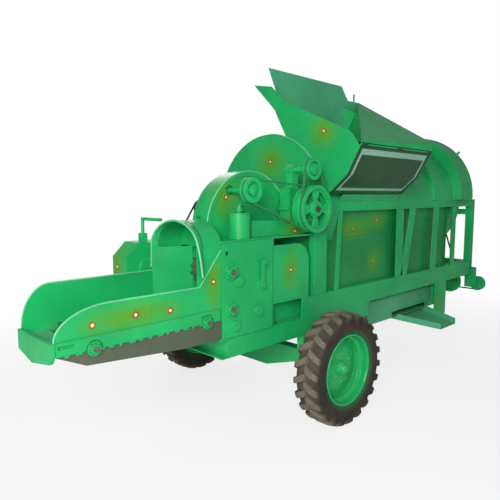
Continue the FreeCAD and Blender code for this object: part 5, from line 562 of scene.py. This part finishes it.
def build_materials(settings):
    """Every material under a short key. Paints give name, paint, painted edge highlight and dust
    colours, strength of that painted highlight and dust; steels give name, steel and stain colours,
    stains and metallic share."""
    GROUPS.update(enamel=enamel_group(), ornament=ornament_group(), steel=steel_group())
    green = [round(255 * c) for c in settings.paint]
    dark = [round(255 * c) for c in settings.banner]
    # The first colour is the paler green of the painted edge highlight, the second is real dust
    edge, dust = (84, 205, 128), (112, 150, 108)
    look = (green, edge, dust, settings.painted_edge_highlight, settings.dust)
    MATERIALS.update(
        green=paint_material("green_paint", *look),
        marked=paint_material("marked_green_paint", *look, ORNAMENTS),
        trough=paint_material("trough_paint", *look, ORNAMENTS[:4], dusty_below_strip),
        # A darker copy of the green for the body panels: painted shade
        recessed=paint_material("recessed_paint", (28, 144, 72), (50, 150, 88), dust, 0.2, 0.1,
                                ORNAMENTS[-5:-1]),
        # A paler green for the rolled edges: a painted highlight along them
        pale=paint_material("painted_highlight_edge_paint", (104, 205, 144), (150, 226, 180), dust, 0.4, 0.1),
        banner=paint_material("banner_paint", dark, (44, 104, 70), dust, 0.3, 0.1,
                              borders=banner_borders),
        dusty=paint_material("dusty_sheet", (88, 96, 78), (110, 124, 96), (112, 104, 84), 0.3, 1.0),
        # A paler, greyer copy of the green for the hopper's far wall, sieve box and trough bed: painted
        # light
        shaded=paint_material("inner_painted_light_paint", (74, 176, 128), (104, 200, 150), (120, 160, 124),
                              0.3, 0.4),
        tyre=tyre_material(),
        belt=belt_material(),
        oiled=steel_material("oiled_steel", (120, 118, 112), (62, 48, 38), 0.6, 0.85),
        worn=steel_material("worn_steel", (150, 146, 136), (92, 66, 44), 0.5, 0.8))


class ThresherSettings(bpy.types.PropertyGroup):
    """Colours and sizes of the dressed machine."""

    paint: bpy.props.FloatVectorProperty(
        name="Paint", description="Enamel of the machine, as display values", subtype="COLOR_GAMMA",
        size=3, min=0, max=1, default=(0.11, 0.69, 0.38))
    banner: bpy.props.FloatVectorProperty(
        name="Banner", description="Paint of the banner door, as display values", subtype="COLOR_GAMMA",
        size=3, min=0, max=1, default=(0.08, 0.31, 0.17))
    # How strongly the edges are lightened: a painted highlight along the edges
    painted_edge_highlight: bpy.props.FloatProperty(
        name="Edge Wear", description="How pale the edges are rubbed", subtype="FACTOR", min=0, max=1,
        default=0.35)
    dust: bpy.props.FloatProperty(
        name="Dust", description="Dust on upper and low faces", subtype="FACTOR", min=0, max=1, default=0.15)


class TyreSettings(bpy.types.PropertyGroup):
    """Sizes of the tyre tread."""

    lug_count: bpy.props.IntProperty(
        name="Lugs", description="Lugs on each side of the tread", min=12, max=30, default=22)
    lug_height: bpy.props.FloatProperty(
        name="Lug Height", description="Height of a lug above the tread", unit="LENGTH", default=0.022)
    lug_width: bpy.props.FloatProperty(
        name="Lug Width", description="Width of a lug along the tread", unit="LENGTH", default=0.05)


class StageSettings(bpy.types.PropertyGroup):
    """Light and floor round the machine."""

    key_power: bpy.props.FloatProperty(
        name="Key Light", description="Power of the large soft lamp in front", unit="POWER", default=275.0)
    sky: bpy.props.FloatProperty(
        name="Sky", description="Strength of the even light from all sides", min=0, default=0.24)
    floor: bpy.props.FloatVectorProperty(
        name="Floor", description="Colour of the floor", subtype="COLOR", size=3, min=0, max=1,
        default=(0.86, 0.87, 0.86))


# Materials of the solids

MARKED_NODES = ("feed_gearbox", "reduction_cover", "bevel_housing", "chopper_housing",
                "casing_front_plate", "hopper_front_wall", "posts", "pressure_unit")
SLOTTED = {"tyre": ("near_tyre", "far_tyre"), "belt": ("drive_belts",), "dusty": ("belly_sheet",),
           # The body panels take a darker copy of the green: painted shade
           "banner": ("banner_door",), "trough": ("near_trough_wall",), "recessed": ("body_panels",),
           # These inner walls take a paler copy of the green: painted light
           "shaded": ("hopper_far_wall", "sieve_box", "trough_bed"),
           "oiled": ("drive_chains", "main_shaft", "cross_shaft", "reduction_gear"),
           "worn": ("slat_chain", "concave", "upper_feed_roller", "lower_feed_roller", "threshing_drum",
                    "chopper_cylinder", "front_conveyor_roller", "rear_conveyor_roller")}


class PaintSolids(bpy.types.Operator):
    """Gives each solid of the machine its paint, rubber or steel"""

    bl_idname = "thresher.paint_solids"
    bl_label = "Paint Solids"

    def execute(self, context):
        build_materials(context.scene.thresher_look)
        chosen = {node: key for key, names in SLOTTED.items() for node in names}
        chosen.update((node, "marked") for node in MARKED_NODES)
        for node, solid in NODES.items():
            solid.data.materials.clear()
            solid.data.materials.append(MATERIALS[chosen.get(node, "green")])
        return {"FINISHED"}


# Wheels

def tyre_profile():
    """Outline of the tyre's outside as (radius, place) points from bead to bead: one half, and
    its mirror image."""
    bead_y = 0.0697
    height = TREAD_R - BEAD_R
    half = [(BEAD_R, bead_y), (BEAD_R + 0.012, bead_y + 0.007),
            (BEAD_R + 0.12 * height, bead_y + 0.1 * TREAD_HALF)]
    half += [(BEAD_R + up * height, TREAD_HALF * across) for up, across in (
        (0.3, 0.93), (0.45, 0.97), (0.6, 0.97), (0.74, 0.95), (0.9, 0.87))]
    half += [(TREAD_R - 0.002, TREAD_HALF * 0.66), (TREAD_R, TREAD_HALF * 0.33)]
    return np.array(half + [(TREAD_R + 0.001, 0)] + [(r, -y) for r, y in half[::-1]])


def outward_normals(r, y):
    """Unit normals of the section's line, turned away from the middle of the section."""
    tangent = unit(np.stack([np.gradient(r), np.gradient(y)], axis=-1))
    normal = np.stack([-tangent[:, 1], tangent[:, 0]], axis=-1)
    outward = np.stack([r - 0.3, y], axis=-1)
    return normal * np.sign((normal * outward).sum(axis=1))[:, None]


def lug_rise(turn, r, y, settings):
    """How far the lugs stand out at each turn and profile point, 0 to 1. A lug of one side is
    where the angle from its slanting middle line is under half its width. Flanks, inner end
    and shoulder end are ramps, and their product s is smoothed to s s (3 - 2 s)."""
    lean, flank_angle, inner_ramp, shoulder_r, shoulder_ramp = 0.055, 0.012, 0.006, 0.318, 0.02
    pitch = 2 * math.pi / settings.lug_count
    across = np.abs(y) / TREAD_HALF
    slant = (across - 0.5) * lean / TREAD_R
    half = settings.lug_width / 2 / TREAD_R * (1.05 - 0.18 * across)
    shoulder = np.clip((r - shoulder_r) / shoulder_ramp, 0, 1)
    rise = 0
    for side, start in ((1, 0.5), (-1, 0.0)):
        offset = (turn + math.pi / 2 - slant - start * pitch + pitch / 2) % pitch - pitch / 2
        flank = np.clip((half - np.abs(offset)) / flank_angle + 0.5, 0, 1)
        inboard = np.clip((side * y + 0.004) / inner_ramp, 0, 1)
        s = flank * inboard * shoulder
        rise = np.maximum(rise, s * s * (3 - 2 * s))
    return rise


def tyre_mesh(middle, settings):
    """A tyre turned about the axle: its smoothed outline rises along its normal by the lugs'
    height and by two thin ribs, exp(-((r - rib) / width) squared), and an inner wall closes it."""
    samples, steps = 92, 900
    r0, y0 = resampled(tyre_profile(), samples).T
    kernel = np.array([1, 2, 3, 2, 1]) / 9
    inner = slice(4, -4)
    for line in (r0, y0):
        line[inner] = np.convolve(line, kernel, "same")[inner]
    normal = outward_normals(r0, y0)
    turn = np.linspace(0, 2 * math.pi, steps, endpoint=False)[:, None]
    ribs = 0.0012 * np.exp(-((r0 - 0.262) / 0.003) ** 2) + 0.0014 * np.exp(-((r0 - 0.3) / 0.0025) ** 2)
    lift = lug_rise(turn, r0, y0, settings) * settings.lug_height + ribs
    side_limit = TREAD_HALF - 0.0005
    r = np.minimum(r0 + normal[:, 0] * lift, TYRE_R)
    y = np.clip(y0 + normal[:, 1] * lift, -side_limit, side_limit)
    half = [(BEAD_R, -0.0557), (0.262, -0.058), (0.31, -0.082), (0.345, -0.07), (0.359, -0.05)]
    wall = np.array(half + [(radius, -place) for radius, place in half[::-1]])
    r, y = (np.hstack([line, np.tile(wall[:, k], (steps, 1))]) for k, line in enumerate((r, y)))
    points = np.stack([AXLE[0] + r * np.cos(turn), middle + y, AXLE[1] + r * np.sin(turn)], axis=-1)
    return points.reshape(-1, 3), grid_quads(steps, r.shape[1], True, True)


class Tyres(bpy.types.Operator):
    """Builds both tyres with their slanting lugs and side wall ribs"""

    bl_idname = "thresher.tyres"
    bl_label = "Tyres"

    def execute(self, context):
        for side, name in ((-1, "near"), (1, "far")):
            piece(name + "_tread", tyre_mesh(side * WHEEL_Y, context.scene.thresher_tyre), MATERIALS["tyre"],
                  name + "_wheel", (name + "_tyre",), 50.0)
        return {"FINISHED"}


def rim_parts(side):
    """Rolled rim, dished disc, hub, cap, nuts with their studs, and valve of one wheel; the
    profiles are turned about the axle, and nut k stands (k + 1/2) / 6 of a turn round it."""
    def at(profile):
        """The profile with its places turned to this wheel's side."""
        return [(r, side * y) for r, y in profile]

    centre = np.array([AXLE[0], side * WHEEL_Y, AXLE[1]])
    barrel = [(0.25, -0.082), (0.25, -0.077), (0.239, -0.0772), (0.2388, -0.0287), (0.217, -0.0164),
              (0.217, 0.0164), (0.2388, 0.0287), (0.239, 0.0772), (0.25, 0.077), (0.2515, 0.082),
              (0.247, 0.0865), (0.238, 0.084), (0.234, 0.076), (0.2335, 0.0337), (0.212, 0.0214),
              (0.212, -0.0214), (0.2335, -0.0337), (0.234, -0.082)]
    disc = [(0.05, 0.0125), (0.118, 0.0125), (0.128, 0.009), (0.15, 0.0045), (0.2, -0.0132),
            (0.2118, -0.014), (0.2118, -0.0195), (0.198, -0.019), (0.15, -0.001), (0.126, 0.004),
            (0.117, 0.0072), (0.05, 0.0072)]
    hub = [(0.0251, -0.1), (0.058, -0.1), (0.058, -0.013), (0.126, -0.005), (0.126, 0.0068), (0.05, 0.0068),
           (0.0495, 0.015), (0.045, 0.048), (0.0251, 0.048)]
    cap = [(0.0, 0.068), (0.0205, 0.067), (0.031, 0.06), (0.034, 0.052), (0.0345, 0.0481), (0.0, 0.0481)]
    bead = [(0.2135, -0.0125), (0.2085, -0.0125), (0.2105, -0.0085)]
    stud = [(0.0, 0.021), (0.006, 0.02), (0.007, 0.011), (0.0, 0.011)]
    parts = [lathe(rounded(at(barrel), 0.004), centre, 128),
             lathe(rounded(at(disc), 0.006), centre, 128),
             lathe(rounded(at(hub), 0.003, 3), centre, 72),
             lathe(at(cap), centre, 48), lathe(at(bead), centre, 128)]
    disc_face = disc[0][1]
    for k in range(NUTS):
        t = 2 * math.pi * (k + 0.5) / NUTS
        place = centre + (NUT_CIRCLE * math.cos(t), side * disc_face, NUT_CIRCLE * math.sin(t))
        parts += [fastener(place, (0, side, 0), 0.0145, 0.0135), lathe(at(stud), place, 12)]
    valve = [centre + (-0.3 * r, side * y, 0.954 * r)
             for r, y in ((0.206, 0.004), (0.203, 0.016), (0.199, 0.034))]
    parts.append(tube(spread(valve, 0.006), 0.0035, 8))
    return parts


class Rims(bpy.types.Operator):
    """Builds both rims with rolled flanges, dished discs, hubs and nuts"""

    bl_idname = "thresher.rims"
    bl_label = "Rims"

    def execute(self, context):
        for side, name in ((-1, "near"), (1, "far")):
            piece(name + "_rim_and_hub", rim_parts(side), MATERIALS["green"], name + "_wheel",
                  (name + "_rim",))
        return {"FINISHED"}


# Sheet edges

def arc(centre, radius, start, end, plane, place, count):
    """Points centre + radius (cos t, sin t) for t from start to end in degrees, in the plane
    XZ or YZ that lies at place along the third direction."""
    t = np.radians(np.linspace(start, end, count))
    u, v, w = centre[0] + radius * np.cos(t), centre[1] + radius * np.sin(t), np.full(count, place)
    return np.stack((u, w, v) if plane == "XZ" else (w, u, v), axis=-1)


def softened(points, count=61):
    """An open line resampled evenly and smoothed three times, each point to a quarter of both
    neighbours and half of itself, its ends kept."""
    line = resampled(points, count)
    for _ in range(3):
        line[1:-1] = (line[:-2] + 2 * line[1:-1] + line[2:]) / 4
    return line


LIP = [(LIP_X, y, z) for y, z in (
    (-0.618, 1.131), (-0.604, 1.21), (-0.585, 1.287), (-0.56, 1.345), (-0.525, 1.39), (-0.45, 1.43),
    (-0.357, 1.448), (-0.27, 1.437), (-0.196, 1.406), (-0.14, 1.365), (-0.103, 1.311), (-0.096, 1.138))]


def hood_flare():
    """The hood's flared mouth: a thin sheet from the hood's outline, two legs and half the
    ellipse (half width cos t, rise sin t), to the wider lip in front of it."""
    gap, overlap, thick, leg_foot, shoulder = 0.001, 0.045, 0.003, 1.131, 1.28
    middle = (HOOD_LOW[1] + HOOD_HIGH[1]) / 2
    half_width = middle - HOOD_LOW[1] + gap
    rise = HOOD_HIGH[2] + gap - shoulder
    outline = [(middle + half_width * math.cos(t), shoulder + rise * math.sin(t))
               for t in np.linspace(math.pi, 0, 31)]
    outline = [(middle - half_width, leg_foot)] + outline + [(middle + half_width, leg_foot)]
    hood = softened([(HOOD_LOW[0] + overlap, y, z) for y, z in outline])
    lip = softened(LIP)
    back = np.array([thick, 0, 0])
    ring = np.stack([hood, lip, lip + back, hood + back], axis=1)
    ends = [np.broadcast_to(part.mean(axis=0), (1, 4, 3)) for part in (ring[0], ring[-1])]
    points = np.concatenate([ends[0], ring, ends[1]])
    return points.reshape(-1, 3), grid_quads(len(points), 4, False, True)


def wall_front(flat_x, top):
    """A trough wall's front corner, a quarter ellipse from the end plate's top up to the flat
    edge: x draws near to flat_x with cos t, and z rises to top with sin t."""
    foot_x, foot_z = WALL_LOW[0], END_PLATE_TOP
    return [(flat_x - (flat_x - foot_x) * math.cos(t), foot_z + (top - foot_z) * math.sin(t))
            for t in np.radians(np.linspace(0, 90, 40))]


def rolled_edges():
    """Rods along the free edges of the trough's walls, the hood's lip, the half round cover
    and the near quarter of the casing's front plate."""
    near_y, near_top = WALL_HIGH[1] - 0.002, HOOD_LOW[2]
    far_y, far_top = FAR_WALL_LOW[1] + 0.002, FAR_WALL_HIGH[2]
    near = wall_front(-2.167, near_top) + [(-1.59, near_top), (-1.428, 1.268)]
    far = wall_front(-2.298, far_top) + [(-1.43, far_top)]
    cover_r = (COVER_HIGH[0] - COVER_LOW[0]) / 2
    cover_middle = (COVER_LOW[0] + cover_r, COVER_HIGH[2] - cover_r)
    plate_z = 1.5
    plate_r = PLATE_HIGH[2] - plate_z
    cover_edge = arc(cover_middle, cover_r - 0.002, 2, 176, "XZ", COVER_LOW[1] + 0.013, 90)
    plate_edge = arc((0, plate_z), plate_r - 0.0015, 92, 176, "YZ", PLATE_LOW[0] - 0.002, 70)
    return [tube(spread([(x, near_y, z) for x, z in near], 0.008), 0.0055, 8),
            tube(spread([(x, far_y, z) for x, z in far], 0.008), 0.005, 8),
            tube(softened(LIP, 90), 0.0065, 10),
            tube(cover_edge, 0.0055, 8),
            tube(plate_edge, 0.005, 8)]


class SheetEdges(bpy.types.Operator):
    """Adds the hood's flared mouth and the rolled edges of the sheets"""

    bl_idname = "thresher.sheet_edges"
    bl_label = "Sheet Edges"

    def execute(self, context):
        piece("hood_flare", hood_flare(), MATERIALS["green"])
        # The rolled edges take the paler green: a painted highlight along them
        piece("rolled_edges", rolled_edges(), MATERIALS["pale"])
        return {"FINISHED"}


# Welds and fasteners

def frame_fittings():
    """Weld beads at the feet and tops of the posts, whose front and rear are given, and a bolt
    every 14 degrees over the casing's rear band, along its radius (-cos a, sin a)."""
    posts = ((-0.535, -0.385), (0.624, 0.744), (1.75, 1.835), (2.235, 2.305))
    face, heights = BEAM_FACE + 0.0005, (RAIL_TOP + 0.001, BEAM_TOP - 0.075)
    parts = [weld((front, side * face, z), (rear, side * face, z), front * 7 + side)
             for front, rear in posts for side in (-1, 1) for z in heights]
    for a in np.radians(np.arange(20, 161, 14)):
        out = np.array([0, -math.cos(a), math.sin(a)])
        parts.append(fastener((BAND_X, 0, BAND_Z) + BAND_R * out, out, 0.011, 0.009))
    return parts


def pins():
    """Short stubs on the hopper's rim, the scroll and the half round cover: foot, top, radius."""
    stubs = (((0.745, 0.002, 2.46), (0.745, 0.002, 2.545), 0.009),
             ((1.88, -0.49, 1.99), (1.88, -0.545, 2.04), 0.012),
             ((-1.39, -0.33, 1.46), (-1.43, -0.33, 1.475), 0.011))
    return [tube(spread((foot, top), 0.012), radius, 10) for foot, top, radius in stubs]


def trough_fittings():
    """Chain lugs in an uneven row under the trough's side strip: the length of each shifts
    with the sine of its number."""
    parts = []
    first, last, pitch, thick, corner = -2.41, -1.5, 0.058, 0.009, 0.003
    low = STRIP_LOW - 0.012
    for i, x in enumerate(np.arange(first, last, pitch)):
        end = x + 0.026 + 0.012 * math.sin(2.3 * i)
        corners = ((x, STRIP_LOW), (end, STRIP_LOW), (end, low + 0.002), (end - corner, low),
                   (x + corner, low), (x, low + 0.002))
        parts.append(slab([(u, WALL_LOW[1], v) for u, v in corners], (0, thick, 0), 0.001))
    return parts


class Fittings(bpy.types.Operator):
    """Adds weld beads, bolts and lugs"""

    bl_idname = "thresher.fittings"
    bl_label = "Fittings"

    def execute(self, context):
        piece("frame_fittings", frame_fittings() + pins(), MATERIALS["green"])
        piece("trough_fittings", trough_fittings(), MATERIALS["green"])
        return {"FINISHED"}


# Stage

# Each lamp: name, place, target, size, share of the key light's power, colour
LAMPS = (("key", (-5.1, -3.5, 2.8), (-1.0, -0.2, 1.2), 2.6, 1.0, (1, 0.99, 0.97)),
         ("fill", (0.5, -6.0, 4.0), (0.2, 0, 1.1), 4.0, 0.08, (0.97, 0.99, 1)),
         ("back", (2.0, 6.0, 5.0), (0.0, 0, 1.2), 4.0, 0.45, (1, 1, 1)))

# The camera's place, its direction over the ground and how many degrees it looks down
EYE = (-3.377, -2.804, 1.6)
EYE_AHEAD = (0.6988, 0.7153)
EYE_PITCH = 6.334


def looking(direction):
    """The turn that points a lamp or camera along a direction."""
    return Vector(direction).to_track_quat("-Z", "Y").to_euler()


def mixed_output(nodes, share, first, second, output):
    """Shows the first shader, or the second where share is 1."""
    mix = nodes.add("ShaderNodeMixShader", Fac=share)
    nodes.put(mix.inputs[1], first.outputs[0])
    nodes.put(mix.inputs[2], second.outputs[0])
    nodes.put(nodes.tree.nodes[output].inputs["Surface"], mix.outputs[0])


def seen_directly(nodes):
    """1 for rays that show the background itself, from the camera or through glass."""
    path = nodes.add("ShaderNodeLightPath").outputs
    return nodes.math("MAXIMUM", path["Is Camera Ray"], path["Is Transmission Ray"])


def floor_material(settings):
    """A pale matt floor that turns into plain white far from the machine."""
    material, nodes, shader = new_material("floor", Roughness=0.9, Specular_IOR_Level=0.1)
    where = nodes.add("ShaderNodeTexCoord").outputs["Object"]
    far = nodes.vector("LENGTH", nodes.vector("MULTIPLY", where, (0.8, 1, 1)))
    tone = nodes.range(nodes.noise(where, 12.0, 3.0), 0.3, 0.7, 0.985, 1.0)
    nodes.put(shader.inputs["Base Color"], nodes.vector("SCALE", tuple(settings.floor), scale=tone))
    white = nodes.add("ShaderNodeEmission", Color=(1, 1, 1, 1), Strength=1.0)
    share = nodes.math("MULTIPLY", nodes.range(far, 1.8, 4.5, 0.8, 1.0), seen_directly(nodes))
    mixed_output(nodes, share, shader, white, "Material Output")
    return material


def add_floor(settings):
    """A flat square round the machine."""
    reach = 40.0
    mesh = bpy.data.meshes.new("floor")
    corners = [(-reach, -reach, 0), (reach, -reach, 0), (reach, reach, 0), (-reach, reach, 0)]
    mesh.from_pydata(corners, [], [(0, 1, 2, 3)])
    floor = placed("floor", mesh)
    mesh.materials.append(floor_material(settings))


def add_lamp(name, place, target, size, power, colour):
    """A round soft lamp at place, aimed at target."""
    data = bpy.data.lights.new(name, "AREA")
    data.shape, data.size, data.energy, data.color = "DISK", size, power, colour
    made = placed(name, data)
    made.location = place
    made.rotation_euler = looking(Vector(target) - Vector(place))


def add_sky(settings):
    """Even light from all sides, with plain white behind the machine."""
    world = bpy.data.worlds.new("sky")
    bpy.context.scene.world = world
    world.use_nodes = True
    nodes = Nodes(world.node_tree)
    light = world.node_tree.nodes["Background"]
    light.inputs["Color"].default_value = (0.96, 0.98, 1, 1)
    light.inputs["Strength"].default_value = settings.sky
    plain = nodes.add("ShaderNodeBackground", Color=(1, 1, 1, 1), Strength=1.0)
    mixed_output(nodes, seen_directly(nodes), light, plain, "World Output")


def add_camera():
    """The camera of the photograph: its direction is (ahead cos p, -sin p) for the pitch p."""
    data = bpy.data.cameras.new("camera")
    data.lens, data.sensor_width = 36.0, 36.0
    eye = placed("camera", data)
    eye.location = EYE
    pitch = math.radians(EYE_PITCH)
    eye.rotation_euler = looking([a * math.cos(pitch) for a in EYE_AHEAD] + [-math.sin(pitch)])
    bpy.context.scene.camera = eye


class Stage(bpy.types.Operator):
    """Adds the floor, the soft lamps, the sky and the camera"""

    bl_idname = "thresher.stage"
    bl_label = "Stage"

    def execute(self, context):
        settings = context.scene.thresher_stage
        add_floor(settings)
        for name, place, target, size, share, colour in LAMPS:
            add_lamp(name, place, target, size, share * settings.key_power, colour)
        add_sky(settings)
        add_camera()
        context.scene.view_settings.view_transform = "Standard"
        return {"FINISHED"}


OPERATORS = (PaintSolids, Tyres, Rims, SheetEdges, Fittings, Stage)


class ThresherPanel(bpy.types.Panel):
    """Lists the steps that dress the machine"""

    bl_idname = "VIEW3D_PT_thresher"
    bl_label = "Threshing Machine"
    bl_space_type = "VIEW_3D"
    bl_region_type = "UI"
    bl_category = "Thresher"

    def draw(self, context):
        for operator in OPERATORS:
            self.layout.operator(operator.bl_idname)
        for name in SETTINGS:
            settings = getattr(context.scene, name)
            for key in settings.__annotations__:
                self.layout.prop(settings, key)


SETTINGS = {"thresher_look": ThresherSettings, "thresher_tyre": TyreSettings,
            "thresher_stage": StageSettings}
CLASSES = (*SETTINGS.values(), *OPERATORS, ThresherPanel)


def register():
    """Registers the classes and puts their settings on the scene."""
    for item in CLASSES:
        bpy.utils.register_class(item)
    for name, kind in SETTINGS.items():
        setattr(bpy.types.Scene, name, bpy.props.PointerProperty(type=kind))


def unregister():
    """Takes the settings and the classes away again."""
    for name in SETTINGS:
        delattr(bpy.types.Scene, name)
    for item in reversed(CLASSES):
        bpy.utils.unregister_class(item)


def main():
    """Dresses the machine step by step."""
    register()
    for operator in OPERATORS:
        family, step = operator.bl_idname.split(".")
        getattr(getattr(bpy.ops, family), step)()


if __name__ == "__main__":
    main()
